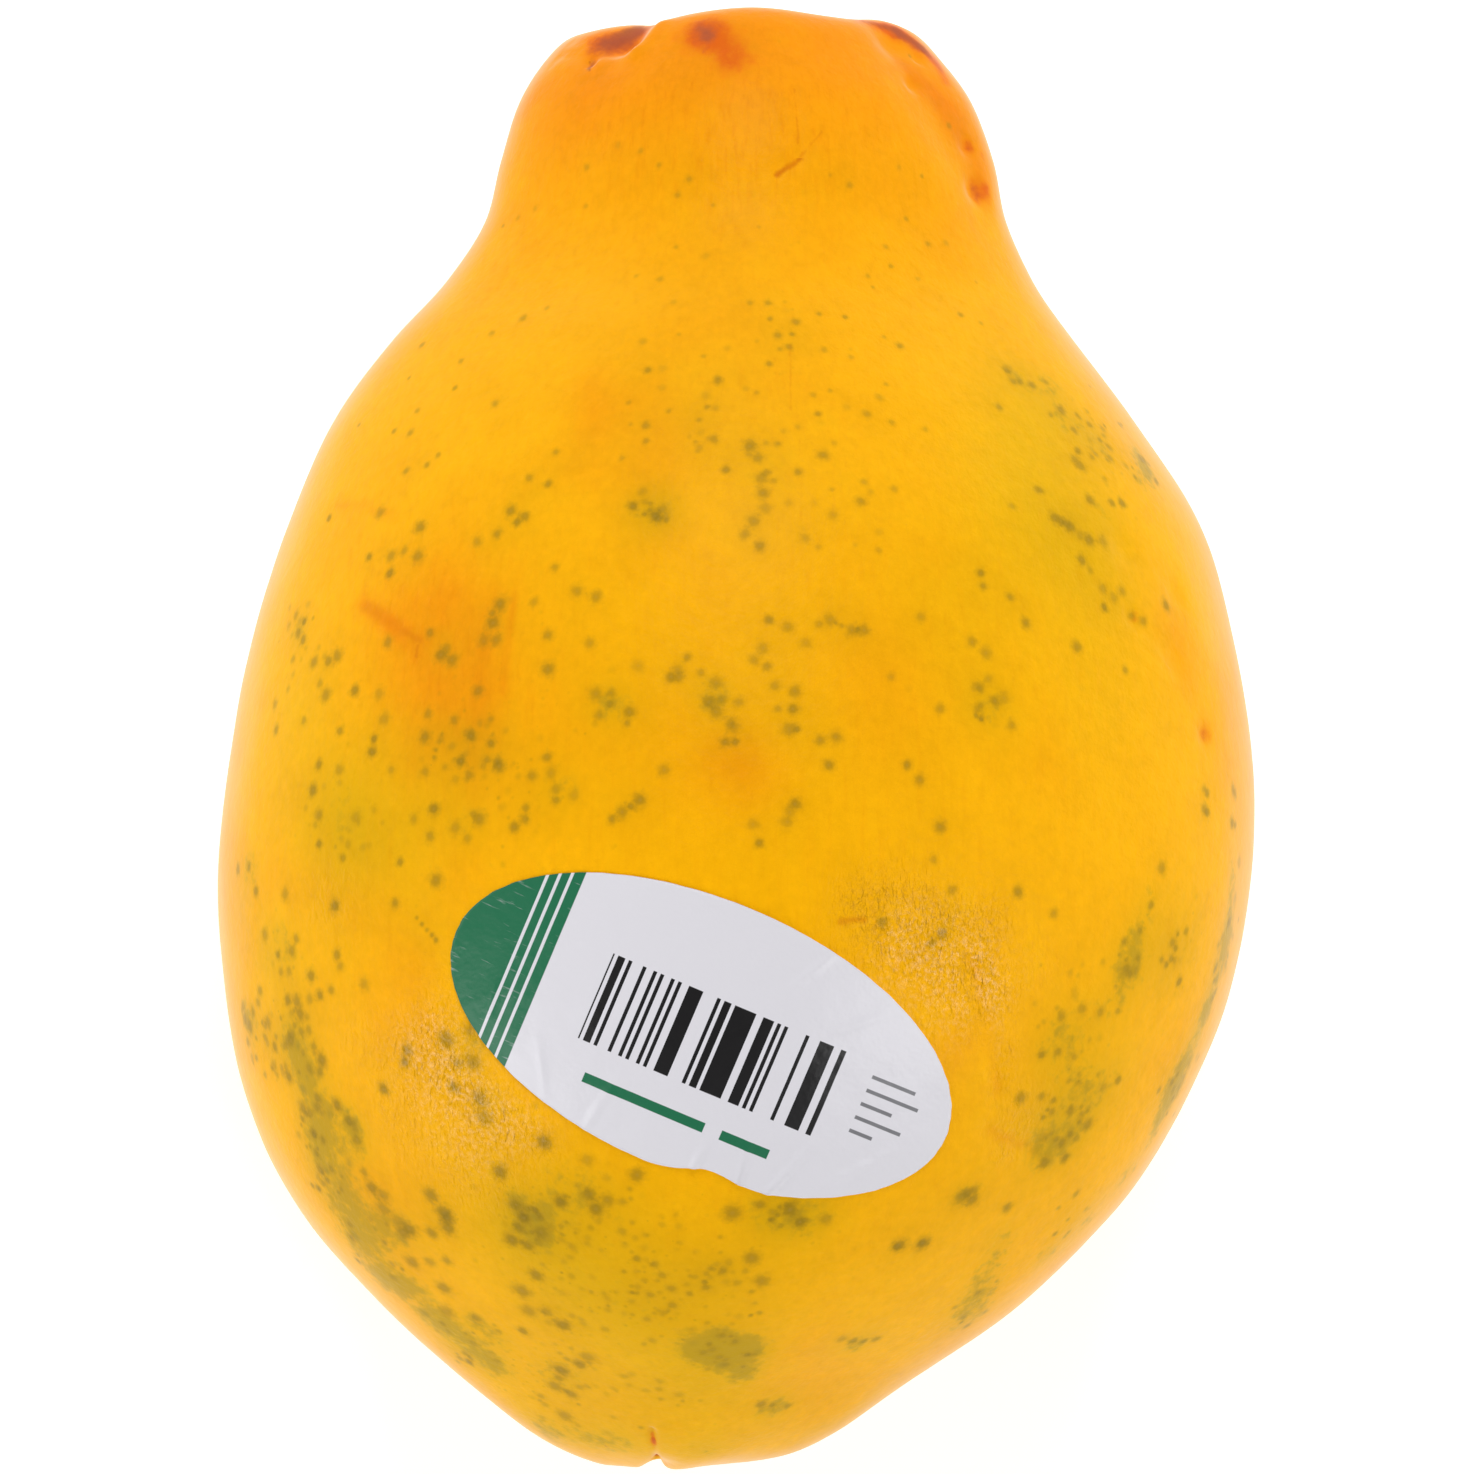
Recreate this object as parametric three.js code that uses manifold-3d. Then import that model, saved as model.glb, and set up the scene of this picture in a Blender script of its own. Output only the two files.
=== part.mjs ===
// A ripe papaya lying on its side, with an oval paper label stuck on its upper face.
// Millimetres. +Z is up, +Y runs along the fruit from the blossom end to the stem end, and the origin is under
// the middle of the fruit, on the surface that it rests on.
import * as THREE from "three";
import { mergeVertices } from "three/addons/utils/BufferGeometryUtils.js";
import Module from "manifold-3d";

const wasm = await Module();
wasm.setup();

// The outline seen from above, from the blossom end to the stem end: [place along Y, left edge, right edge].
// The first and last rows are the middle of the scar at each end.
const outline = [
  [-66.4, -7.4, -7.4],
  [-67.7, -10.6, -3.4],
  [-66.9, -14.4, 4.2],
  [-64.5, -19.1, 9.4],
  [-60.0, -24.9, 15.6],
  [-52.5, -33.1, 26.4],
  [-45.1, -39.8, 33.9],
  [-37.6, -44.1, 39.5],
  [-27.0, -47.2, 44.7],
  [-15.2, -48.3, 47.6],
  [-4.0, -47.5, 48.1],
  [9.0, -45.2, 46.3],
  [20.0, -41.8, 43.0],
  [29.6, -37.5, 36.8],
  [37.0, -32.3, 31.4],
  [42.6, -27.1, 27.5],
  [48.2, -23.5, 25.0],
  [54.0, -22.0, 23.9],
  [59.4, -20.4, 21.9],
  [63.4, -18.0, 19.0],
  [65.9, -15.7, 16.9],
  [66.9, -12.2, 14.2],
  [65.6, -8.0, 10.6],
  [63.6, -4.4, 7.0],
  [64.0, -2.0, 4.8],
  [64.5, 1.3, 1.3],
];

const section = {
  above: 0.965, // height of the section over its axis, as a share of half its width
  below: 0.925, // depth of the section under its axis
  axisHeight: 43.1, // height of the axis over the table, under the middle of the fruit
  lean: -0.055, // rise of the axis towards the stem end
};

const ridges = { count: 5, height: 0.45, at: 90 }; // long soft ridges down the body

// The grooves that part the lobes round the stem scar, and run down the neck.
// angle is counted from the right side over the top, turn is its change for each millimetre down the neck,
// deepest is how far under the rim the groove is at its deepest.
const neckGrooves = [
  { angle: 8, turn: 0, depth: 0.65, width: 16, deepest: 0, reach: 4 },
  { angle: 42, turn: -0.75, depth: 1.0, width: 9, deepest: 12, reach: 8 },
  { angle: 131, turn: 0.3, depth: 0.45, width: 12, deepest: 0, reach: 12 },
  { angle: 163, turn: 0, depth: 0.95, width: 22, deepest: 0, reach: 4 },
  { angle: 203, turn: 0.2, depth: 1.3, width: 10, deepest: 3, reach: 17 },
  { angle: 266, turn: 0, depth: 1.4, width: 10, deepest: 0, reach: 14 },
  { angle: 325, turn: -0.2, depth: 1.6, width: 10, deepest: 0, reach: 18 },
];
const rim = { fromScar: 14.5, half: 12, spread: 7 }; // the rim of the stem scar, measured along the skin
const frontLobe = { angle: 84, width: 34, height: 0.55 }; // the lobe that stands highest on the rim

// The creases that meet in the blossom scar.
const tipCreases = [
  { angle: 102, depth: 3.0, width: 7, reach: 7 },
  { angle: 268, depth: 1.9, width: 9, reach: 6 },
  { angle: 20, depth: 0.7, width: 15, reach: 6 },
  { angle: 155, depth: 0.5, width: 14, reach: 6 },
  { angle: 212, depth: 0.6, width: 14, reach: 6 },
  { angle: 330, depth: 0.6, width: 14, reach: 6 },
];

// Dents in the skin: place in the view from above, size across, and depth.
const dents = [
  { x: 21.7, y: 55.0, size: 3.4, depth: 0.6 },
  { x: 22.4, y: 50.9, size: 4.0, depth: 0.9 },
  { x: -10.4, y: 64.6, size: 5.2, depth: 1.3 },
  { x: 14.6, y: 64.6, size: 4.4, depth: 0.9 },
];

const label = {
  middle: [-3.2, -26.6],
  long: 47.4, // straight across, seen from above
  wide: 24.4,
  turn: -23, // degrees
  gap: 0.3, // the layer of glue
  thickness: 0.25,
};

const segments = 64; // faces round the fruit
const ringsPerRow = 3;
const labelRings = 7;
const labelSpokes = 56;

const skin = new THREE.MeshStandardMaterial({ color: 0xf5aa18, roughness: 0.42, metalness: 0 });
const paper = new THREE.MeshStandardMaterial({ color: 0xebe9ee, roughness: 0.35, metalness: 0 });

const radians = THREE.MathUtils.degToRad;
const bell = (distance, width) => Math.exp(-((distance / width) ** 2));
const angleBetween = (a, b) => ((((a - b) % 360) + 540) % 360) - 180;

// A row past each end of the outline, so that the curve runs level through the scar.
function pastTheEnd([, middle], [place, left, right]) {
  return [place, 2 * middle - left, 2 * middle - right];
}

// Sections of the fruit along its skin, each with its distance from the two scars.
function sectionsAlongFruit() {
  const last = outline.length - 1;
  const rows = [
    pastTheEnd(outline[0], outline[1]),
    ...outline,
    pastTheEnd(outline[last], outline[last - 1]),
  ];
  const curve = new THREE.CatmullRomCurve3(rows.map(([y, left, right]) => new THREE.Vector3(left, right, y)));
  const steps = last * ringsPerRow;
  const sections = [];
  for (let i = 0; i <= steps; i++) {
    const { x: left, y: right, z: y } = curve.getPoint((1 + i / ringsPerRow) / (last + 2));
    sections.push({ y, middle: (left + right) / 2, half: (right - left) / 2 });
  }
  sections[0].half = sections[steps].half = 0;
  let run = 0;
  sections.forEach((s, i) => {
    if (i) run += Math.hypot(s.y - sections[i - 1].y, s.half - sections[i - 1].half);
    s.fromTip = run;
  });
  sections.forEach((s) => (s.fromStem = run - s.fromTip));
  return sections;
}

// How far the skin stands out of the plain section there, in millimetres.
function relief(angle, { y, half, fromTip, fromStem }, x) {
  const fadeAtEnds = Math.min(1, fromTip / 25, fromStem / 30);
  let out = ridges.height * fadeAtEnds * Math.cos(radians(ridges.count * (angle - ridges.at)));
  const downNeck = Math.max(0, fromStem - rim.fromScar);
  const insideRim = Math.max(0, rim.fromScar - fromStem);
  for (const g of neckGrooves) {
    const off = angleBetween(angle, g.angle + g.turn * downNeck) * Math.min(1, half / rim.half);
    out -= g.depth * bell(off, g.width) * bell(downNeck - g.deepest, g.reach) * bell(insideRim, rim.spread);
  }
  out += frontLobe.height * bell(angleBetween(angle, frontLobe.angle), frontLobe.width)
    * bell(fromStem - rim.fromScar, rim.spread);
  for (const c of tipCreases) {
    const widened = c.width * (1 + 3 / (1 + fromTip));
    out -= c.depth * bell(angleBetween(angle, c.angle), widened) * bell(fromTip, c.reach) * Math.min(1, half / 2);
  }
  if (angle < 180)
    for (const d of dents) out -= d.depth * bell(Math.hypot(x - d.x, y - d.y), d.size / 2);
  return out;
}

function asManifold(geometry) {
  const plain = geometry.clone();
  plain.deleteAttribute("normal");
  plain.deleteAttribute("uv");
  const merged = mergeVertices(plain, 1e-4);
  return new wasm.Manifold(
    new wasm.Mesh({
      numProp: 3,
      vertProperties: new Float32Array(merged.attributes.position.array),
      triVerts: new Uint32Array(merged.index.array),
    }),
  );
}

function asGeometry(solid) {
  const mesh = solid.getMesh();
  const geometry = new THREE.BufferGeometry();
  geometry.setAttribute("position", new THREE.BufferAttribute(mesh.vertProperties, 3));
  geometry.setIndex(new THREE.BufferAttribute(mesh.triVerts, 1));
  geometry.computeVertexNormals();
  return geometry;
}

// The whole fruit: a turned body, moved to the real sections and given its relief.
function fruitGeometry() {
  const sections = sectionsAlongFruit();
  const turned = new THREE.LatheGeometry(sections.map((s) => new THREE.Vector2(s.half, s.y)), segments);
  const place = turned.attributes.position;
  const facing = turned.attributes.normal;
  for (let i = 0; i < place.count; i++) {
    const s = sections[i % sections.length];
    const step = Math.floor(i / sections.length) % segments;
    const angle = (450 - (step / segments) * 360) % 360;
    const up = Math.sin(radians(angle));
    const x = s.middle + s.half * Math.cos(radians(angle));
    const z = section.axisHeight + section.lean * s.y + s.half * up * (up > 0 ? section.above : section.below);
    const out = s.half ? relief(angle, s, x) : 0;
    place.setXYZ(i, x + facing.getX(i) * out, s.y + facing.getY(i) * out, z + facing.getZ(i) * out);
  }
  const below = new THREE.BoxGeometry(200, 200, 50);
  below.translate(0, 0, -25);
  return asGeometry(asManifold(turned).subtract(asManifold(below)));
}

// The label: an oval of paper that follows the skin under it.
function labelGeometry(fruit) {
  const down = new THREE.Vector3(0, 0, -1);
  const turn = radians(label.turn);
  const skinUnder = (ring, spoke) => {
    const across = (ring / labelRings) * (label.long / 2) * Math.cos((spoke / labelSpokes) * 2 * Math.PI);
    const over = (ring / labelRings) * (label.wide / 2) * Math.sin((spoke / labelSpokes) * 2 * Math.PI);
    const x = label.middle[0] + across * Math.cos(turn) - over * Math.sin(turn);
    const y = label.middle[1] + across * Math.sin(turn) + over * Math.cos(turn);
    const hit = new THREE.Raycaster(new THREE.Vector3(x, y, 150), down).intersectObject(fruit)[0];
    return { at: hit.point, facing: hit.face.normal };
  };
  const places = [];
  for (const off of [label.gap, label.gap + label.thickness])
    for (let ring = 0; ring <= labelRings; ring++)
      for (let spoke = 0; spoke < (ring ? labelSpokes : 1); spoke++) {
        const { at, facing } = skinUnder(ring, spoke);
        places.push(at.x, at.y, at.z + off / facing.z);
      }
  const perSide = 1 + labelRings * labelSpokes;
  const corner = (side, ring, spoke) =>
    side * perSide + (ring ? 1 + (ring - 1) * labelSpokes + (spoke % labelSpokes) : 0);
  const faces = [];
  for (let spoke = 0; spoke < labelSpokes; spoke++) {
    for (let ring = 0; ring < labelRings; ring++)
      for (const side of [0, 1]) {
        const near = corner(side, ring, spoke);
        const out = corner(side, ring + 1, spoke);
        const outNext = corner(side, ring + 1, spoke + 1);
        const nearNext = corner(side, ring, spoke + 1);
        faces.push(...(side ? [near, out, outNext] : [near, outNext, out]));
        if (ring) faces.push(...(side ? [near, outNext, nearNext] : [near, nearNext, outNext]));
      }
    const edge = [0, 1].map((side) => [corner(side, labelRings, spoke), corner(side, labelRings, spoke + 1)]);
    faces.push(edge[0][0], edge[0][1], edge[1][1], edge[0][0], edge[1][1], edge[1][0]);
  }
  const geometry = new THREE.BufferGeometry();
  geometry.setAttribute("position", new THREE.Float32BufferAttribute(places, 3));
  geometry.setIndex(faces);
  geometry.computeVertexNormals();
  return geometry;
}

const papaya = new THREE.Group();
const fruit = new THREE.Mesh(fruitGeometry(), skin);
fruit.name = "fruit";
fruit.updateMatrixWorld();
const sticker = new THREE.Mesh(labelGeometry(fruit), paper);
sticker.name = "label";
papaya.add(fruit, sticker);

export default papaya;
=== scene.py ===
import math
import random

import bmesh
import bpy
import numpy as np
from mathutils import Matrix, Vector, kdtree, noise
from mathutils.bvhtree import BVHTree


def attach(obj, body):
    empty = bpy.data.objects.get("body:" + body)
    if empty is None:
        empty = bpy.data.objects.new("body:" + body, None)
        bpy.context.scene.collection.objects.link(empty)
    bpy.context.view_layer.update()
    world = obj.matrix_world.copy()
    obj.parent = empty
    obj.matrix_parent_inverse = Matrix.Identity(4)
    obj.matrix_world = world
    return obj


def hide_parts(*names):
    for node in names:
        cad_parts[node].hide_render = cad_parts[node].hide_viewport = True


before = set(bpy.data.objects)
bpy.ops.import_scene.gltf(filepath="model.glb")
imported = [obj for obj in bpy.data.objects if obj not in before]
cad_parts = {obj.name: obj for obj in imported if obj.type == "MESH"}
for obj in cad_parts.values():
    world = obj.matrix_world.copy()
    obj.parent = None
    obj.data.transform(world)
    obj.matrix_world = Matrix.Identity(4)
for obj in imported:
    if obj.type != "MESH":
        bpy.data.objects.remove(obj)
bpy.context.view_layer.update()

print("frame loaded")

# Lengths are in millimetres until a finished mesh is scaled to metres.
metre = 0.001

# The camera looks straight down. Marks on the fruit are placed where they show in its picture,
# in pixels from the left and from the top of a frame 1474 pixels wide.
view = {
    "pixels": 1474,
    "pixelsPerMm": 10.72,
    "plane": 46,
    "eyeHeight": 946,
    "sensor": 36,
}


def shownAt(surface, across, down):
    half = view["pixels"] / 2
    scale = view["pixelsPerMm"]
    eye = Vector((0, 0, view["eyeHeight"]))
    aim = Vector(((across - half) / scale, (half - down) / scale, view["plane"]))
    place = surface.ray_cast(eye, (aim - eye).normalized())[0]
    if place is None:
        place = surface.find_nearest(aim)[0]
    return place


def bell(distance, width):
    return np.exp(-((distance / width) ** 2))


# The fruit's shape.

fruit = {
    "rings": 290,
    "columns": 334,
    "crowding": 18,  # degrees by which the columns of faces gather on the upper side
    "curveSteps": 4000,
    # how much closer the rings stand at each end, and over what length in mm
    "closerAtTip": (0.9, 14),
    "closerAtStem": (0.9, 24),
    # place along Y, left edge and right edge, seen from above
    "outline": [
        [-66.4, -7.4, -7.4],
        [-67.7, -10.6, -3.4],
        [-66.9, -14.4, 4.2],
        [-64.5, -19.1, 9.4],
        [-60.0, -24.9, 15.6],
        [-52.5, -33.1, 26.4],
        [-45.1, -39.8, 33.9],
        [-37.6, -44.1, 39.5],
        [-27.0, -47.2, 44.7],
        [-15.2, -48.3, 47.6],
        [-4.0, -47.5, 48.1],
        [9.0, -45.2, 46.3],
        [20.0, -41.8, 43.0],
        [29.6, -37.5, 36.8],
        [37.0, -32.3, 31.4],
        [42.6, -27.1, 27.5],
        [48.2, -23.5, 25.0],
        [54.0, -22.0, 23.9],
        [59.4, -20.4, 21.9],
        [63.4, -18.0, 19.0],
        [65.9, -15.7, 16.9],
        [66.9, -12.2, 14.2],
        [65.6, -8.0, 10.6],
        [63.6, -4.4, 7.0],
        [64.0, -2.0, 4.8],
        [64.5, 1.3, 1.3],
    ],
    "above": 0.965,  # height and depth of a section, as a share of half its width
    "below": 0.925,
    "axisHeight": 43.1,
    "lean": -0.055,
    "ridgeCount": 5,
    "ridgeHeight": 0.45,
    "ridgeAt": 90,
    "ridgeFade": (25, 30),
    # angle, turn for each mm down the neck, depth, width in degrees, place of the deepest part, reach in mm
    "neckGrooves": [
        (8, 0, 0.65, 16, 0, 4),
        (42, -0.75, 0.85, 12, 12, 8),
        (131, 0.3, 0.45, 12, 0, 12),
        (163, 0, 0.95, 22, 0, 4),
        (203, 0.2, 1.3, 10, 3, 17),
        (266, 0, 1.4, 10, 0, 14),
        (325, -0.2, 1.6, 10, 0, 18),
    ],
    "rimFromScar": 14.5,
    "rimHalf": 12,
    "rimSpread": 7,
    "lobeAt": 84,
    "lobeWidth": 34,
    "lobeHeight": 0.55,
    # angle, depth, width in degrees, reach in mm
    "tipCreases": [
        (102, 3.0, 7, 7),
        (268, 1.9, 9, 6),
        (20, 0.7, 15, 6),
        (155, 0.5, 14, 6),
        (212, 0.6, 14, 6),
        (330, 0.6, 14, 6),
    ],
    # pixels across and down, size and depth in mm
    "dents": [
        (968, 147, 2.2, 0.55),
        (977, 190, 3.0, 0.8),
        (624, 40, 4.6, 1.5),
        (893, 40, 4.4, 0.9),
        (591, 62, 1.4, 0.5),
        (919, 58, 1.2, 0.4),
        (912, 84, 1.6, 0.4),
        (1125, 548, 3.5, 0.35),
        (1176, 595, 3.2, 0.35),
        (1132, 617, 1.1, 0.4),
        (1175, 663, 2.6, 0.25),
        (1204, 735, 1.5, 0.5),
    ],
    # pixels from and to, width and depth in mm
    "furrows": [
        (973, 961, 999, 1096, 0.8, 0.26),
        (985, 1130, 1037, 1150, 0.7, 0.24),
        (777, 174, 800, 159, 0.5, 0.12),
        (794, 88, 799, 150, 0.5, 0.06),
        (800, 157, 821, 132, 0.5, 0.08),
        (1133, 617, 1170, 655, 0.8, 0.12),
        (945, 140, 975, 215, 2.4, 0.25),
        (600, 62, 636, 52, 1.0, -0.35),
        (636, 52, 660, 25, 1.0, -0.35),
        (1030, 905, 1050, 960, 0.8, 0.08),
        (652, 1432, 657, 1458, 0.4, 0.5),
        (560, 56, 588, 58, 0.6, 0.14),
        (572, 42, 594, 47, 0.6, 0.12),
        (558, 66, 584, 74, 0.8, -0.12),
        (690, 26, 712, 48, 1.2, 0.12),
    ],
    # size across in mm, height in mm
    "unevenness": [(16, 0.25), (5.5, 0.05)],
}


# A smooth curve through the rows, read at the places in at, which are counted in rows.
def alongCurve(rows, at):
    before = np.clip(np.floor(at).astype(int), 1, len(rows) - 3)
    part = (at - before)[:, None]
    a, b, c, d = (rows[before + k] for k in (-1, 0, 1, 2))
    ab, bc, cd = (
        np.sqrt(np.linalg.norm(q - p, axis=1))[:, None] for p, q in ((a, b), (b, c), (c, d))
    )
    leave = ((b - a) / ab - (c - a) / (ab + bc) + (c - b) / bc) * bc
    arrive = ((c - b) / bc - (d - b) / (bc + cd) + (d - c) / cd) * bc
    bend = 3 * (c - b) - 2 * leave - arrive
    return b + part * (leave + part * (bend + part * (2 * (b - c) + leave + arrive)))


def pastTheEnd(end, nextRow):
    return [nextRow[0], 2 * end[1] - nextRow[1], 2 * end[1] - nextRow[2]]


# How far each row lies from the blossom end, measured along the skin.
def arcLength(rows):
    half = (rows[:, 2] - rows[:, 1]) / 2
    steps = np.hypot(np.diff(rows[:, 0]), np.diff(half))
    return np.concatenate([[0], np.cumsum(steps)])


def ringRows():
    outline = fruit["outline"]
    rows = [pastTheEnd(outline[0], outline[1])] + outline + [pastTheEnd(outline[-1], outline[-2])]
    rows = np.array(rows, float)
    at = np.linspace(1, len(rows) - 2, fruit["curveSteps"])
    arc = arcLength(alongCurve(rows, at))
    tipShare, tipLength = fruit["closerAtTip"]
    stemShare, stemLength = fruit["closerAtStem"]
    crowd = 1 + tipShare * bell(arc, tipLength) + stemShare * bell(arc[-1] - arc, stemLength)
    travel = np.concatenate([[0], np.cumsum(np.diff(arc) * (crowd[1:] + crowd[:-1]) / 2)])
    even = np.linspace(0, travel[-1], fruit["rings"] + 1)
    return alongCurve(rows, np.interp(even, travel, at))


def turnedBetween(a, b):
    return (a - b + 180) % 360 - 180


def coarseRelief(angle, half, fromTip, fromStem):
    fadeAtTip, fadeAtStem = fruit["ridgeFade"]
    fade = np.minimum(1, np.minimum(fromTip / fadeAtTip, fromStem / fadeAtStem))
    ridge = np.cos(np.radians(fruit["ridgeCount"] * (angle - fruit["ridgeAt"])))
    out = fruit["ridgeHeight"] * fade * ridge
    downNeck = np.maximum(0, fromStem - fruit["rimFromScar"])
    insideRim = np.maximum(0, fruit["rimFromScar"] - fromStem)
    for at, turn, depth, width, deepest, reach in fruit["neckGrooves"]:
        off = turnedBetween(angle, at + turn * downNeck) * np.minimum(1, half / fruit["rimHalf"])
        down = bell(downNeck - deepest, reach)
        out = out - depth * bell(off, width) * down * bell(insideRim, fruit["rimSpread"])
    lobe = bell(turnedBetween(angle, fruit["lobeAt"]), fruit["lobeWidth"])
    out = out + fruit["lobeHeight"] * lobe * bell(fromStem - fruit["rimFromScar"], fruit["rimSpread"])
    for at, depth, width, reach in fruit["tipCreases"]:
        across = bell(turnedBetween(angle, at), width * (1 + 3 / (1 + fromTip)))
        out = out - depth * across * bell(fromTip, reach) * np.minimum(1, half / 2)
    return out


def shapeTables():
    rows = ringRows()
    y = rows[:, :1]
    middle = (rows[:, 1:2] + rows[:, 2:3]) / 2
    half = (rows[:, 2:3] - rows[:, 1:2]) / 2
    half[0] = half[-1] = 0
    fromTip = arcLength(rows)[:, None]
    fromStem = fromTip[-1] - fromTip
    outY = -np.gradient(half[:, 0], fromTip[:, 0])[:, None]
    outAcross = np.gradient(y[:, 0], fromTip[:, 0])[:, None]
    share = np.arange(fruit["columns"])[None] / fruit["columns"]
    angle = 90 - 360 * share + fruit["crowding"] * np.sin(2 * np.pi * share)
    cos, sin = np.cos(np.radians(angle)), np.sin(np.radians(angle))
    tall = np.where(sin > 0, fruit["above"], fruit["below"])
    out = coarseRelief(angle, half, fromTip, fromStem)
    out[0] = out[-1] = 0
    x = middle + half * cos + out * outAcross * cos
    z = fruit["axisHeight"] + fruit["lean"] * y + half * sin * tall + out * outAcross * sin
    place = np.stack([x, y + out * outY + 0 * x, z], axis=2)
    facing = np.stack([outAcross * cos, outY + 0 * cos, outAcross * sin], axis=2)
    facing[0], facing[-1] = (0, -1, 0), (0, 1, 0)
    return place, facing


def nearSegment(points, start, end):
    along = np.array(end - start)
    share = np.clip((points - np.array(start)) @ along / (along @ along), 0, 1)
    return np.linalg.norm(points - np.array(start) - share[:, None] * along, axis=1)


def surfaceOf(points, faces):
    return BVHTree.FromPolygons([Vector(p) for p in points], faces)


def fineRelief(points, faces):
    surface = surfaceOf(points, faces)
    out = np.zeros(len(points))
    for across, down, size, depth in fruit["dents"]:
        distance = np.linalg.norm(points - np.array(shownAt(surface, across, down)), axis=1)
        out -= depth * bell(distance, size / 2)
    for a, b, c, d, width, depth in fruit["furrows"]:
        distance = nearSegment(points, shownAt(surface, a, b), shownAt(surface, c, d))
        out -= depth * bell(distance, width)
    for size, height in fruit["unevenness"]:
        out += height * np.array([noise.noise(Vector(p) / size) for p in points])
    return out


def buildFruit():
    place, facing = shapeTables()
    rings, columns = fruit["rings"], fruit["columns"]
    ball = bmesh.new()
    bmesh.ops.create_uvsphere(ball, u_segments=columns, v_segments=rings, radius=1)
    ball.verts.ensure_lookup_table()
    co = np.array([v.co for v in ball.verts])
    ring = rings - np.rint(np.arccos(np.clip(co[:, 2], -1, 1)) / np.pi * rings).astype(int)
    column = np.rint(np.arctan2(-co[:, 0], co[:, 1]) / (2 * np.pi) * columns).astype(int) % columns
    points, normals = place[ring, column], facing[ring, column]
    faces = [[v.index for v in f.verts] for f in ball.faces]
    points = points + normals * fineRelief(points, faces)[:, None]
    points[:, 2] = np.maximum(points[:, 2], 0)
    for vertex, point in zip(ball.verts, points):
        vertex.co = Vector(point) * metre
    for face in ball.faces:
        face.smooth = True
    mesh = bpy.data.meshes.new("papayaFruit")
    ball.to_mesh(mesh)
    ball.free()
    made = bpy.data.objects.new("papayaFruit", mesh)
    bpy.context.scene.collection.objects.link(made)
    return made, points, surfaceOf(points, faces)


papaya, skinPoints, skin = buildFruit()
print("fruit shaped:", len(papaya.data.polygons), "faces")

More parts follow.
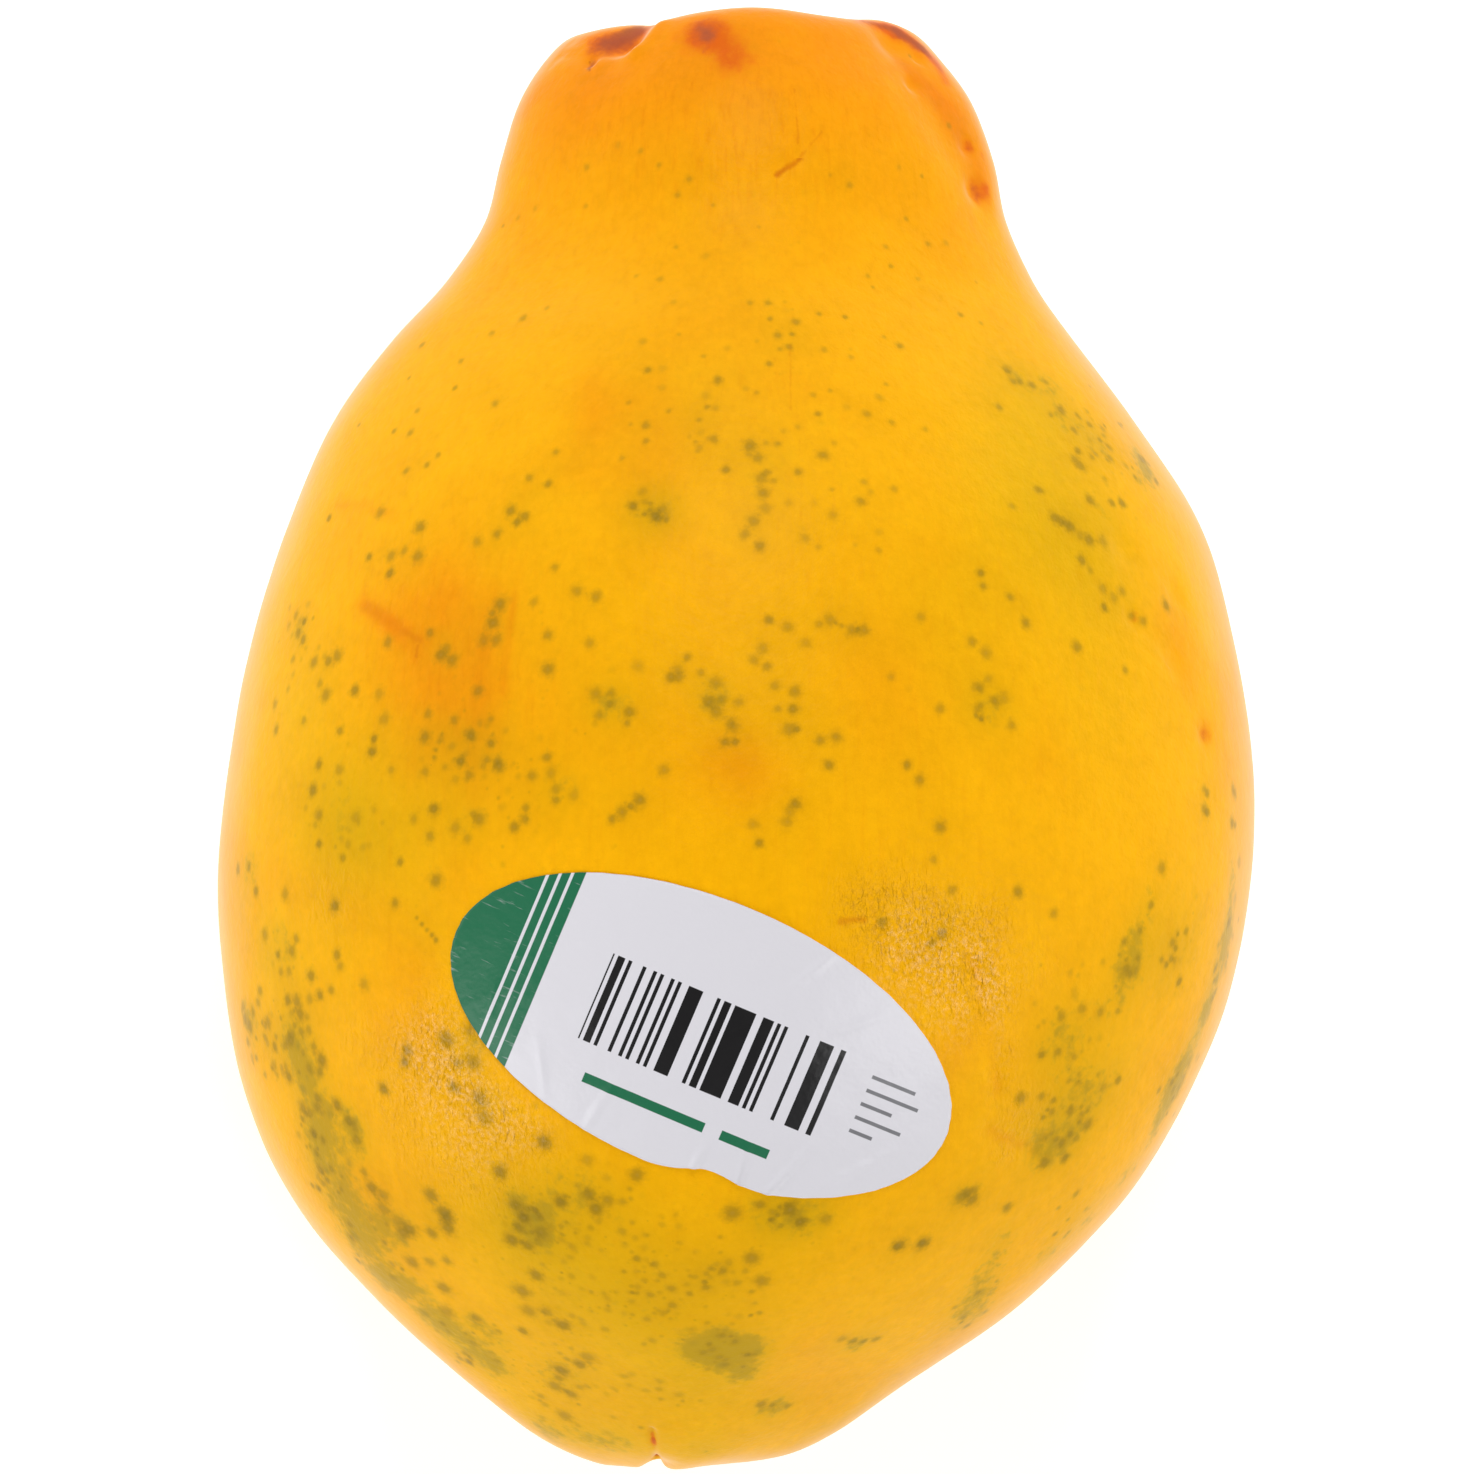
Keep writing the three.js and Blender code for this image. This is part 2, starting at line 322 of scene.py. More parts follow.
# Soft patches of colour: pixels across and down, size in mm, strength.
patches = {
    "olive": [
        (345, 820, 4.0, 0.22), (303, 1055, 2.6, 0.3), (250, 1018, 1.8, 0.4), (355, 1128, 1.6, 0.5),
        (395, 1230, 3.0, 0.3), (498, 1338, 1.8, 0.5), (476, 1319, 1.2, 0.4), (528, 1232, 2.2, 0.3),
        (712, 1350, 2.2, 0.6), (738, 1352, 2.6, 0.75), (745, 1375, 1.6, 0.5), (690, 1350, 1.2, 0.4),
        (775, 1212, 2.8, 0.5), (810, 1216, 2.2, 0.5), (775, 1406, 1.8, 0.5), (860, 1341, 1.8, 0.4),
        (530, 1225, 2.8, 0.45), (575, 1200, 4.0, 0.35), (600, 1300, 8.0, 0.12), (700, 1300, 8.0, 0.12),
        (560, 1375, 3.0, 0.4), (550, 1432, 2.4, 0.5), (590, 1440, 2.4, 0.4), (1060, 1040, 3.0, 0.3),
        (1060, 1110, 3.4, 0.28), (1050, 1150, 2.6, 0.4), (1085, 1095, 3.0, 0.2), (1170, 1095, 3.2, 0.35),
        (1225, 950, 3.4, 0.35), (1140, 955, 3.4, 0.3), (1143, 465, 1.8, 0.8), (1095, 440, 2.4, 0.35),
        (1020, 378, 2.0, 0.3), (1050, 385, 1.8, 0.3), (655, 508, 2.4, 0.35), (612, 704, 1.8, 0.4),
        (712, 695, 1.8, 0.35), (298, 630, 1.6, 0.4), (990, 705, 2.2, 0.3), (560, 790, 2.2, 0.3),
        (468, 823, 2.0, 0.25), (250, 870, 2.0, 0.35), (283, 945, 2.2, 0.3), (975, 1300, 3.2, 0.3),
        (965, 1195, 1.2, 0.5), (1085, 1220, 4.0, 0.25), (470, 1045, 2.2, 0.3), (490, 1105, 2.4, 0.2),
        (622, 1442, 2.4, 0.35), (704, 1450, 2.2, 0.3), (1129, 1172, 1.8, 0.35), (1045, 1257, 1.6, 0.35),
        (1200, 1080, 2.4, 0.35), (1105, 520, 2.6, 0.25), (1060, 420, 2.4, 0.25), (1138, 480, 1.2, 0.5),
    ],
    "orange": [
        (560, 110, 6.0, 0.4), (640, 90, 7.0, 0.25), (850, 60, 6.0, 0.3), (940, 95, 3.6, 0.5),
        (965, 130, 2.8, 0.5), (985, 170, 2.6, 0.5), (600, 75, 3.0, 0.3), (590, 405, 4.0, 0.16),
        (560, 730, 7.0, 0.2), (680, 745, 6.0, 0.2), (750, 780, 3.6, 0.35), (735, 755, 2.6, 0.35),
        (875, 650, 5.0, 0.22), (890, 720, 5.0, 0.2), (1175, 630, 3.4, 0.4), (1190, 680, 2.8, 0.3),
        (1204, 732, 1.6, 0.5), (340, 540, 5.0, 0.22), (400, 590, 5.0, 0.2), (720, 50, 5.0, 0.3),
        (455, 665, 8.5, 0.42), (395, 650, 7.0, 0.22), (450, 575, 6.0, 0.2), (470, 770, 6.0, 0.18),
    ],
    "rust": [
        (704, 34, 2.1, 1.0), (722, 46, 1.6, 0.35), (738, 55, 2.2, 0.5), (727, 64, 1.2, 0.3),
        (969, 147, 0.7, 0.8), (983, 157, 0.5, 0.6), (977, 191, 1.3, 0.75), (987, 190, 0.6, 0.5),
        (591, 67, 0.5, 0.5), (1133, 617, 0.6, 0.6), (1204, 735, 0.9, 0.5),
    ],
    "brown": [
        (702, 31, 1.4, 0.42), (710, 36, 1.0, 0.42), (704, 49, 0.6, 0.3), (969, 146, 0.4, 0.6),
        (975, 191, 0.8, 0.5), (607, 1447, 0.35, 0.6),
        (1133, 617, 0.35, 0.5), (1204, 737, 0.4, 0.4),
    ],
    "lime": [
        (620, 1300, 11.0, 0.65), (520, 1230, 7.0, 0.5), (700, 1380, 7.0, 0.4), (345, 820, 7.0, 0.6),
        (300, 700, 5.0, 0.3), (270, 960, 5.0, 0.5), (1040, 420, 9.0, 0.7), (1080, 560, 8.0, 0.65),
        (960, 620, 8.0, 0.25), (1090, 1080, 7.0, 0.4), (430, 780, 7.0, 0.35), (600, 720, 6.0, 0.2),
        (800, 1220, 5.0, 0.35), (540, 1420, 5.0, 0.35), (1180, 940, 6.0, 0.35), (460, 1340, 4.0, 0.4),
        (280, 780, 8.0, 0.35), (370, 860, 8.0, 0.3), (1000, 500, 8.0, 0.4), (1100, 700, 8.0, 0.3),
        (620, 1440, 4.0, 0.4), (700, 1450, 4.0, 0.3), (240, 900, 5.0, 0.4), (1190, 1050, 4.0, 0.4),
    ],
    "specked": [
        (640, 1290, 11.0, 1.0), (540, 1220, 7.0, 0.9), (320, 1130, 6.0, 0.9), (280, 1000, 6.0, 0.9),
        (400, 1230, 6.0, 0.8), (480, 740, 9.0, 0.7), (330, 800, 7.0, 0.5), (560, 600, 6.0, 0.4),
        (1100, 450, 7.0, 0.8), (1090, 1090, 7.0, 0.9), (990, 700, 5.0, 0.7), (1190, 950, 6.0, 0.8),
        (780, 340, 9.0, 0.4), (560, 1380, 6.0, 0.8), (470, 1340, 5.0, 0.9), (740, 1360, 5.0, 0.9),
        (470, 1060, 6.0, 0.6), (1080, 1220, 6.0, 0.7), (820, 1220, 6.0, 0.7), (650, 505, 3.0, 0.8),
        (1144, 466, 2.0, 1.0), (600, 705, 3.0, 0.9), (520, 800, 5.0, 0.6), (300, 640, 5.0, 0.5),
    ],
    "striated": [
        (600, 130, 5.0, 0.7), (680, 115, 6.0, 1.0), (760, 120, 6.0, 1.0), (840, 130, 5.0, 0.6),
        (700, 180, 6.0, 0.5), (430, 640, 7.0, 0.8), (470, 720, 6.0, 0.8), (380, 560, 6.0, 0.5),
        (760, 400, 6.0, 0.3),
    ],
    "wrinkled": [
        (420, 1060, 4.0, 0.6), (470, 1160, 5.0, 0.6), (400, 1120, 4.0, 0.4), (360, 1040, 4.0, 0.3),
        (890, 940, 6.0, 0.5), (960, 1000, 4.0, 0.5), (1020, 1120, 3.0, 0.5), (330, 900, 4.0, 0.3),
        (900, 915, 3.2, 1.0), (935, 935, 3.4, 1.0), (970, 950, 3.0, 0.8), (1000, 1000, 2.4, 0.5),
        (860, 900, 2.4, 0.6), (990, 920, 2.6, 0.6), (455, 1080, 3.4, 0.7), (500, 1115, 3.2, 0.7),
        (540, 1140, 2.4, 0.5), (440, 1020, 3.4, 0.5), (1000, 1080, 2.0, 0.4),
        (988, 975, 1.4, 0.5), (1010, 1050, 1.4, 0.5), (1005, 1150, 1.4, 0.5), (1035, 965, 3.0, 0.3),
    ],
}

# Long patches: pixels from and to, width in mm, strength.
strokes = {
    "olive": [
        (290, 1045, 312, 1092, 2.6, 0.3), (312, 1092, 330, 1150, 2.8, 0.34), (330, 1150, 352, 1215, 3.4, 0.4),
        (352, 1215, 388, 1278, 3.4, 0.55), (385, 1280, 412, 1286, 1.8, 0.5), (246, 1010, 250, 1044, 1.2, 0.3),
        (440, 1322, 492, 1362, 2.2, 0.85), (316, 1130, 318, 1160, 1.0, 0.3),
        (345, 1110, 360, 1150, 1.3, 0.35),
        (1232, 870, 1229, 930, 1.4, 0.4), (1229, 930, 1206, 1010, 1.4, 0.45),
        (1206, 1010, 1172, 1092, 1.6, 0.55),
        (1172, 1092, 1152, 1138, 1.2, 0.4), (1112, 1075, 1062, 1146, 2.4, 0.14),
        (1150, 900, 1128, 965, 1.8, 0.24),
        (1120, 1000, 1048, 1052, 2.0, 0.2), (516, 1200, 540, 1236, 0.9, 0.5),
        (1000, 1240, 965, 1320, 2.0, 0.35),
        (715, 1337, 758, 1350, 1.2, 0.4), (692, 1350, 742, 1370, 1.2, 0.4), (1136, 448, 1148, 480, 0.6, 0.6),
    ],
    "orange": [
        (513, 600, 504, 690, 0.5, 0.3), (504, 680, 495, 750, 0.8, 0.14), (497, 590, 486, 735, 1.2, 0.2),
        (476, 618, 466, 752, 2.2, 0.24), (446, 596, 444, 730, 2.6, 0.18), (412, 628, 420, 742, 3.2, 0.14),
        (518, 566, 510, 630, 0.4, 0.16), (484, 640, 474, 800, 0.9, 0.16),
        (362, 603, 420, 646, 0.9, 0.55), (418, 640, 417, 658, 0.4, 0.5), (337, 503, 398, 516, 0.5, 0.35),
        (905, 66, 951, 118, 1.0, 0.7), (951, 118, 985, 200, 1.6, 0.4), (590, 380, 590, 430, 1.8, 0.2),
        # The last two strokes on the next line follow the creases right of the label: painted shade, a darker
        # orange along each crease.
        (506, 105, 545, 90, 1.6, 0.3), (973, 961, 998, 1092, 0.4, 0.34), (990, 1132, 1036, 1150, 0.4, 0.34),
    ],
    "rust": [
        (604, 46, 646, 30, 1.9, 0.7), (570, 46, 600, 38, 1.4, 0.25), (652, 1431, 654, 1441, 0.26, 0.6),
        (654, 1441, 657, 1455, 0.3, 0.8), (855, 20, 892, 29, 1.0, 0.7),
        (892, 29, 934, 60, 1.1, 0.8), (934, 60, 946, 82, 0.9, 0.4), (905, 68, 925, 98, 0.7, 0.3),
    ],
    "brown": [
        (654, 1440, 657, 1455, 0.22, 0.6), (606, 44, 638, 32, 1.5, 0.75), (632, 31, 652, 23, 0.9, 0.6),
        (592, 64, 588, 70, 0.3, 0.7),
        (866, 22, 893, 28, 0.7, 0.6), (900, 34, 924, 50, 0.8, 0.75), (924, 50, 938, 65, 0.7, 0.4),
    ],
}

# Single pores: pixels across and down.
pores = {
    "neck": [
        (659, 165), (689, 179), (678, 195), (713, 205), (587, 167), (618, 145), (586, 206), (641, 151),
        (759, 227), (503, 226), (518, 218), (535, 209), (899, 167), (922, 176), (830, 175), (850, 185),
        (906, 219), (886, 247), (891, 266), (928, 244), (946, 243), (918, 279), (976, 282), (868, 276),
        (873, 287), (636, 276), (660, 279), (676, 247), (674, 302), (706, 256), (949, 126), (910, 56),
    ],
    "shoulder": [
        (961, 315), (981, 323), (845, 317), (819, 314), (796, 322), (750, 303), (768, 303), (770, 319),
        (778, 335), (792, 334), (780, 349), (789, 347), (769, 364), (824, 350), (851, 357), (884, 337),
        (900, 346), (547, 308), (523, 318), (492, 333), (422, 345), (461, 361), (455, 388), (409, 378),
        (643, 342), (718, 381), (648, 370), (669, 411), (707, 407), (699, 420), (714, 439), (646, 425),
        (646, 441), (622, 458), (798, 427), (818, 414), (867, 414), (892, 422), (886, 384), (999, 407),
        (1051, 415), (1007, 371), (1020, 382), (1046, 382), (417, 411), (410, 433), (394, 431), (495, 404),
        (359, 425), (438, 455), (427, 465), (406, 471), (1077, 415), (1090, 425), (1100, 440), (1110, 458),
    ],
    "belly": [
        (750, 446), (758, 458), (726, 470), (762, 478), (763, 493), (765, 508), (754, 521), (745, 534),
        (760, 546), (823, 455), (864, 482), (861, 501), (798, 472), (833, 515), (805, 538), (894, 489),
        (921, 617), (891, 677), (940, 709), (920, 780), (907, 765), (556, 452), (529, 478), (548, 484),
        (643, 491), (632, 506), (663, 509), (655, 516), (577, 591), (596, 597), (534, 602), (548, 635),
        (548, 669), (590, 643), (638, 666), (687, 657), (678, 669), (671, 677), (679, 677), (701, 673),
        (716, 683), (709, 702), (722, 700), (716, 712), (739, 702), (596, 694), (611, 693), (610, 704),
        (599, 715), (629, 712), (627, 723), (769, 620), (788, 627), (819, 624), (830, 620), (852, 630),
        (864, 630), (806, 643), (763, 648), (754, 660), (767, 666), (775, 686), (795, 691), (778, 709),
        (793, 709), (789, 729), (797, 729), (820, 740), (836, 737), (829, 765), (731, 723), (734, 727),
        (725, 742), (735, 742), (664, 770), (547, 757), (551, 773), (532, 776), (556, 789), (556, 800),
        (574, 795), (612, 819), (622, 812), (631, 806), (640, 800), (790, 812), (787, 822), (795, 804),
        (753, 824), (759, 843), (526, 808), (515, 827), (976, 687), (981, 706), (982, 718), (995, 701),
        (1004, 698), (1012, 725), (972, 642), (986, 653), (983, 586), (1010, 597), (1026, 623),
    ],
    "left": [
        (511, 511), (525, 516), (517, 522), (477, 542), (497, 534), (380, 513), (420, 527), (329, 518),
        (404, 551), (391, 556), (418, 556), (390, 573), (369, 557), (555, 567), (500, 604), (492, 613),
        (493, 623), (484, 641), (496, 640), (430, 633), (388, 642), (447, 648), (441, 655), (452, 660),
        (337, 656), (328, 661), (314, 662), (293, 659), (320, 683), (326, 695), (379, 694), (355, 690),
        (478, 691), (275, 704), (304, 720), (276, 730), (384, 719), (428, 714), (454, 720), (340, 731),
        (374, 739), (372, 752), (425, 737), (471, 736),
        (491, 743), (319, 765), (339, 770), (391, 770), (425, 772), (461, 761), (469, 775), (497, 761),
        (499, 766), (487, 760), (313, 790), (319, 815), (356, 817), (319, 844), (414, 819), (434, 809),
        (430, 836), (473, 814), (479, 819), (455, 828), (467, 838), (514, 827), (525, 819), (296, 615),
        (304, 622), (298, 632), (303, 640), (343, 858), (400, 862), (436, 880), (285, 894), (249, 867),
        (238, 869), (256, 891), (335, 906), (395, 903), (265, 934), (296, 939), (278, 955), (292, 951),
        (281, 972), (289, 971), (337, 955), (340, 966), (364, 984), (331, 990), (310, 999), (260, 991),
        (297, 1001), (300, 1014), (407, 1050), (405, 1062), (384, 1089), (311, 976), (320, 995), (309, 1030),
        (265, 1037), (275, 1047), (285, 1046), (291, 1041), (303, 1053), (314, 1046), (322, 1060),
        (309, 1068),
        (320, 1072), (286, 1067), (289, 1077), (274, 1066), (253, 1011), (245, 1019), (250, 1027),
        (248, 1042),
        (303, 1108), (318, 1098), (337, 1105), (349, 1121), (355, 1127), (357, 1140), (314, 1135),
        (317, 1154),
        (288, 1000), (243, 1006), (258, 1002), (268, 1022), (320, 1170), (364, 1172), (372, 1188),
    ],
    "low": [
        (446, 1039), (469, 1030), (473, 1062), (457, 1063), (454, 1087), (484, 1118), (479, 1098),
        (500, 1172),
        (544, 1142), (587, 1160), (637, 1175), (560, 1201), (587, 1195), (607, 1200), (516, 1205),
        (524, 1218),
        (409, 1229), (431, 1195), (447, 1218), (432, 1233), (412, 1262), (430, 1262), (447, 1261),
        (536, 1275), (383, 1195),
        (383, 1208), (398, 1220), (403, 1232), (444, 1213), (448, 1228), (444, 1288), (476, 1318),
        (447, 1311),
        (522, 1291), (561, 1202), (591, 1194), (596, 1209), (732, 1213), (826, 1219), (752, 1258),
        (762, 1281),
        (529, 1311), (547, 1312), (563, 1325), (523, 1331), (588, 1357), (580, 1365), (561, 1370),
        (555, 1386),
        (571, 1394), (565, 1416), (968, 1193), (961, 1197), (975, 1190), (972, 1200), (1008, 1208),
        (899, 1245),
        (923, 1243), (760, 1205), (790, 1210), (800, 1222), (512, 1240), (528, 1246), (541, 1232),
        (519, 1228),
    ],
    "right": [
        (1012, 506), (1040, 490), (1061, 521), (1066, 524), (1071, 527), (1089, 540), (1082, 560),
        (1090, 570),
        (1105, 608), (1143, 621), (1077, 647), (1125, 670), (1235, 793), (1235, 825), (1207, 793),
        (1207, 812),
        (1239, 862), (940, 827), (934, 860), (952, 890), (1018, 892), (1054, 913), (882, 922), (942, 933),
        (932, 943), (1162, 868), (1186, 931), (1151, 905), (1124, 941), (1171, 959), (1126, 969), (1179, 982),
        (1230, 921), (1235, 898), (1082, 1009), (1118, 1011), (1100, 1012), (1062, 1015), (1042, 1055),
        (1058, 1052),
        (1074, 1057), (1021, 1098), (1104, 1087), (1118, 1080), (1070, 1111), (1088, 1124), (1045, 1137),
        (1070, 1134), (1062, 1143), (1044, 1163), (1065, 1158), (1090, 500), (1112, 503), (1122, 503),
        (1103, 541), (1103, 589), (1122, 591), (1114, 598), (1104, 607), (1132, 616), (1166, 605),
        (1036, 489),
        (1055, 518), (1080, 535), (981, 573), (1007, 369), (1013, 381), (1032, 385), (1061, 410), (1074, 430),
        (1080, 465), (1204, 789), (1204, 809), (1233, 789), (1232, 823), (897, 1247), (922, 1243),
        (842, 1339),
        (853, 1341), (864, 1341), (876, 1339), (761, 1404), (772, 1405), (788, 1406), (1006, 1207),
    ],
    "chain": [
        (417, 918), (422, 924), (427, 930), (432, 935), (436, 940), (442, 734), (439, 742), (436, 750),
        (434, 757),
        (842, 626), (858, 629), (836, 623),
    ],
}

# halo size in mm, how dark
poreLooks = {
    "neck": (0.62, 0.34),
    "shoulder": (0.74, 0.46),
    "belly": (1.06, 0.58),
    "left": (1.12, 0.72),
    "low": (1.42, 0.72),
    "right": (1.06, 0.6),
    "chain": (0.5, 0.5),
}

# Groups of pores too close to tell apart: pixels across and down, size across and along in mm, turn, count.
poreGroups = [
    (285, 1045, 3.6, 3.0, 40, 26), (318, 1125, 2.4, 2.4, 60, 14), (335, 1180, 2.2, 3.0, 30, 12),
    (375, 1250, 2.2, 3.6, 30, 12), (470, 1340, 3.6, 2.4, -10, 16), (735, 1355, 3.4, 2.2, 0, 14),
    (528, 1225, 1.6, 2.8, 0, 14), (655, 505, 2.4, 2.2, 0, 9), (785, 1215, 3.2, 1.2, 0, 8),
    (1143, 465, 1.2, 2.4, 20, 9), (1070, 1110, 3.0, 3.6, -20, 14), (1225, 950, 1.4, 5.0, -10, 14),
    (1150, 950, 3.6, 2.4, 40, 10), (1170, 1095, 1.6, 3.4, -20, 8), (560, 1380, 2.6, 3.4, 20, 8),
    (1085, 1215, 3.4, 3.0, 40, 8), (640, 1270, 6.0, 4.0, 0, 10), (700, 1300, 6.0, 4.0, 0, 8),
    (1095, 440, 3.2, 2.4, 50, 10), (985, 700, 1.8, 2.4, 0, 5), (975, 1300, 3.0, 2.0, 40, 6),
]
faintPoreGroups = [
    (600, 1220, 5.0, 4.0, 0, 20), (680, 1265, 5.0, 5.0, 0, 24), (610, 1330, 6.0, 4.0, 0, 24),
    (560, 1270, 3.0, 5.0, 0, 16), (720, 1300, 4.0, 4.0, 0, 16), (640, 1400, 6.0, 3.0, 0, 18),
    (540, 1425, 4.0, 2.0, 0, 10), (1185, 1100, 1.6, 5.0, -20, 12), (300, 640, 3.0, 5.0, 0, 14),
    (345, 815, 4.0, 4.0, 0, 14), (480, 745, 4.0, 4.0, 0, 14), (1085, 1000, 5.0, 6.0, 0, 18),
    (1110, 420, 5.0, 6.0, -30, 18), (700, 400, 9.0, 7.0, 0, 24), (850, 470, 8.0, 8.0, 0, 20),
]

# The ranges that the pores are drawn from.
poreDraw = {
    "seed": 5,
    "size": (0.7, 1.2),
    "tone": (0.6, 1.3),
    "groupSize": (0.45, 0.95),
    "groupTone": (0.3, 0.65),
    "unseenSize": (0.8, 1.2),
    "unseenTone": (0.6, 1.2),
    "faintShare": 0.55,
    "crowdSize": 2.6,
    "crowdTone": 0.11,
}

# Marks where the photograph doesn't show the skin. Below and within are the height and the reach along
# the fruit that they keep to, in mm.
unseenPores = {
    "count": 430,
    "size": 0.9,
    "tone": 0.66,
    "clumpSize": 14,
    "clumpEase": 0.35,
    "clumpSpread": 0.8,
    "below": 34,
    "within": 64,
}
unseenPatches = {"count": 26, "smallest": 1.8, "largest": 5.0, "faintest": 0.2, "strongest": 0.6, "seed": 11}

tipScar = {"across": -7.4, "height": 46.7, "radius": 2.4, "soft": 1.6, "from": -60, "fade": 3}

# Scratches and streaks: pixels from and to, width in mm, how dark.
scratches = [
    (777, 175, 800, 159, 0.3, 0.7), (794, 90, 798, 142, 0.14, 0.3), (800, 157, 821, 132, 0.16, 0.25),
    (790, 345, 791, 410, 0.12, 0.2), (799, 440, 801, 520, 0.12, 0.15), (366, 606, 408, 632, 0.7, 0.2),
    (404, 630, 420, 641, 0.4, 0.3), (418, 641, 417, 656, 0.22, 0.4), (841, 922, 863, 919, 0.36, 0.4),
    (590, 62, 589, 71, 0.16, 0.8),
]


def covering(blots, lines=()):
    total = np.zeros(len(skinPoints))
    for centre, size, strength in blots:
        distance = np.linalg.norm(skinPoints - np.array(centre), axis=1)
        total += strength * bell(distance, size)
    for start, end, width, strength in lines:
        total += strength * bell(nearSegment(skinPoints, start, end), width)
    return np.clip(total, 0, 1)


def storeOnVertices(name, values):
    layer = papaya.data.attributes.new(name, "FLOAT", "POINT")
    layer.data.foreach_set("value", values.astype(np.float32))


def hiddenPlaces(count, draw):
    under = skinPoints[:, 2] < unseenPores["below"]
    low = np.flatnonzero(under & (np.abs(skinPoints[:, 1]) < unseenPores["within"]))
    clump, clumpEase, spread = (unseenPores[name] for name in ("clumpSize", "clumpEase", "clumpSpread"))
    places = []
    while len(places) < count:
        place = Vector(skinPoints[draw.choice(low)])
        if noise.noise(place / clump) + clumpEase > draw.random() * spread:
            places.append(place)
    return places


def paintPatches():
    draw = random.Random(unseenPatches["seed"])
    smallest, largest = unseenPatches["smallest"], unseenPatches["largest"]
    faintest, strongest = unseenPatches["faintest"], unseenPatches["strongest"]
    unseen = [
        (place, draw.uniform(smallest, largest), draw.uniform(faintest, strongest))
        for place in hiddenPlaces(unseenPatches["count"], draw)
    ]
    for name, blots in patches.items():
        seen = [(shownAt(skin, a, b), size, strength) for a, b, size, strength in blots]
        drawn = [
            (shownAt(skin, a, b), shownAt(skin, c, d), width, strength)
            for a, b, c, d, width, strength in strokes.get(name, [])
        ]
        storeOnVertices(name, covering(seen + (unseen if name == "olive" else []), drawn))
    away = np.hypot(skinPoints[:, 0] - tipScar["across"], skinPoints[:, 2] - tipScar["height"])
    atTip = np.clip((tipScar["from"] - skinPoints[:, 1]) / tipScar["fade"], 0, 1)
    storeOnVertices("tipScar", atTip * np.clip((tipScar["radius"] - away) / tipScar["soft"], 0, 1))


def allPores():
    draw = random.Random(poreDraw["seed"])
    scale = view["pixelsPerMm"]
    found = []
    for name, places in pores.items():
        size, tone = poreLooks[name]
        for across, down in places:
            wide, dark = size * draw.uniform(*poreDraw["size"]), tone * draw.uniform(*poreDraw["tone"])
            found.append((shownAt(skin, across, down), wide, dark))
    groups = [(*group, 1.0) for group in poreGroups]
    groups += [(*group, poreDraw["faintShare"]) for group in faintPoreGroups]
    for across, down, wide, long, turn, count, share in groups:
        slant = math.radians(turn)
        for _ in range(count):
            reach, around = math.sqrt(draw.random()), draw.uniform(0, 2 * math.pi)
            x, y = wide * reach * math.cos(around), long * reach * math.sin(around)
            x, y = x * math.cos(slant) - y * math.sin(slant), x * math.sin(slant) + y * math.cos(slant)
            place = shownAt(skin, across + x * scale, down - y * scale)
            size, tone = draw.uniform(*poreDraw["groupSize"]), share * draw.uniform(*poreDraw["groupTone"])
            found.append((place, size, tone))
    for place in hiddenPlaces(unseenPores["count"], draw):
        size = unseenPores["size"] * draw.uniform(*poreDraw["unseenSize"])
        found.append((place, size, unseenPores["tone"] * draw.uniform(*poreDraw["unseenTone"])))
    return found


# Each layer keeps its pores clear of each other, so that every face needs to know only the nearest one.
poreLayers = 5
poreClearance = 0.6


def sortIntoLayers(found):
    layers = [[] for _ in range(poreLayers)]
    for place, size, tone in found:
        room = [
            min(((place - other).length - size - reach for other, reach, _ in layer), default=math.inf)
            for layer in layers
        ]
        clear = [k for k in range(poreLayers) if room[k] > poreClearance]
        best = clear[0] if clear else room.index(max(room))
        layers[best].append((place, size, tone))
    return layers


def faceMiddles():
    return [face.center / metre for face in papaya.data.polygons]


def storeOnFaces(name, kind, rows):
    layer = papaya.data.attributes.new(name, kind, "FACE")
    field = "vector" if kind == "FLOAT_VECTOR" else "value"
    layer.data.foreach_set(field, np.array(rows, np.float32).ravel())


def nearestOf(places, middles):
    tree = kdtree.KDTree(len(places))
    for k, place in enumerate(places):
        tree.insert(place, k)
    tree.balance()
    return [tree.find(middle)[1] for middle in middles]


def paintPores(middles):
    found = allPores()
    crowdSize, crowdTone = poreDraw["crowdSize"], poreDraw["crowdTone"]
    storeOnVertices("crowded", covering([(place, crowdSize, crowdTone * tone) for place, _, tone in found]))
    layers = sortIntoLayers(found)
    for k, layer in enumerate(layers):
        nearest = [layer[n] for n in nearestOf([place for place, _, _ in layer], middles)]
        storeOnFaces(f"poreAt{k}", "FLOAT_VECTOR", [place * metre for place, _, _ in nearest])
        looks = [(size * metre, tone, 0) for _, size, tone in nearest]
        storeOnFaces(f"poreLook{k}", "FLOAT_VECTOR", looks)
    print("pores in layers:", [len(layer) for layer in layers])


beadsPerScratch = 9  # places along a scratch that the faces near it are found by


def paintScratches(middles):
    lines = [
        (shownAt(skin, a, b), shownAt(skin, c, d), width, tone) for a, b, c, d, width, tone in scratches
    ]
    beads, owners = [], []
    for k, (start, end, _, _) in enumerate(lines):
        for step in range(beadsPerScratch):
            beads.append(start.lerp(end, step / (beadsPerScratch - 1)))
            owners.append(k)
    nearest = [lines[owners[n]] for n in nearestOf(beads, middles)]
    storeOnFaces("scratchFrom", "FLOAT_VECTOR", [start * metre for start, _, _, _ in nearest])
    storeOnFaces("scratchAlong", "FLOAT_VECTOR", [(end - start) * metre for start, end, _, _ in nearest])
    looks = [(width * metre, tone, 0) for _, _, width, tone in nearest]
    storeOnFaces("scratchLook", "FLOAT_VECTOR", looks)


paintPatches()
middles = faceMiddles()
paintPores(middles)
paintScratches(middles)
print("skin marked")


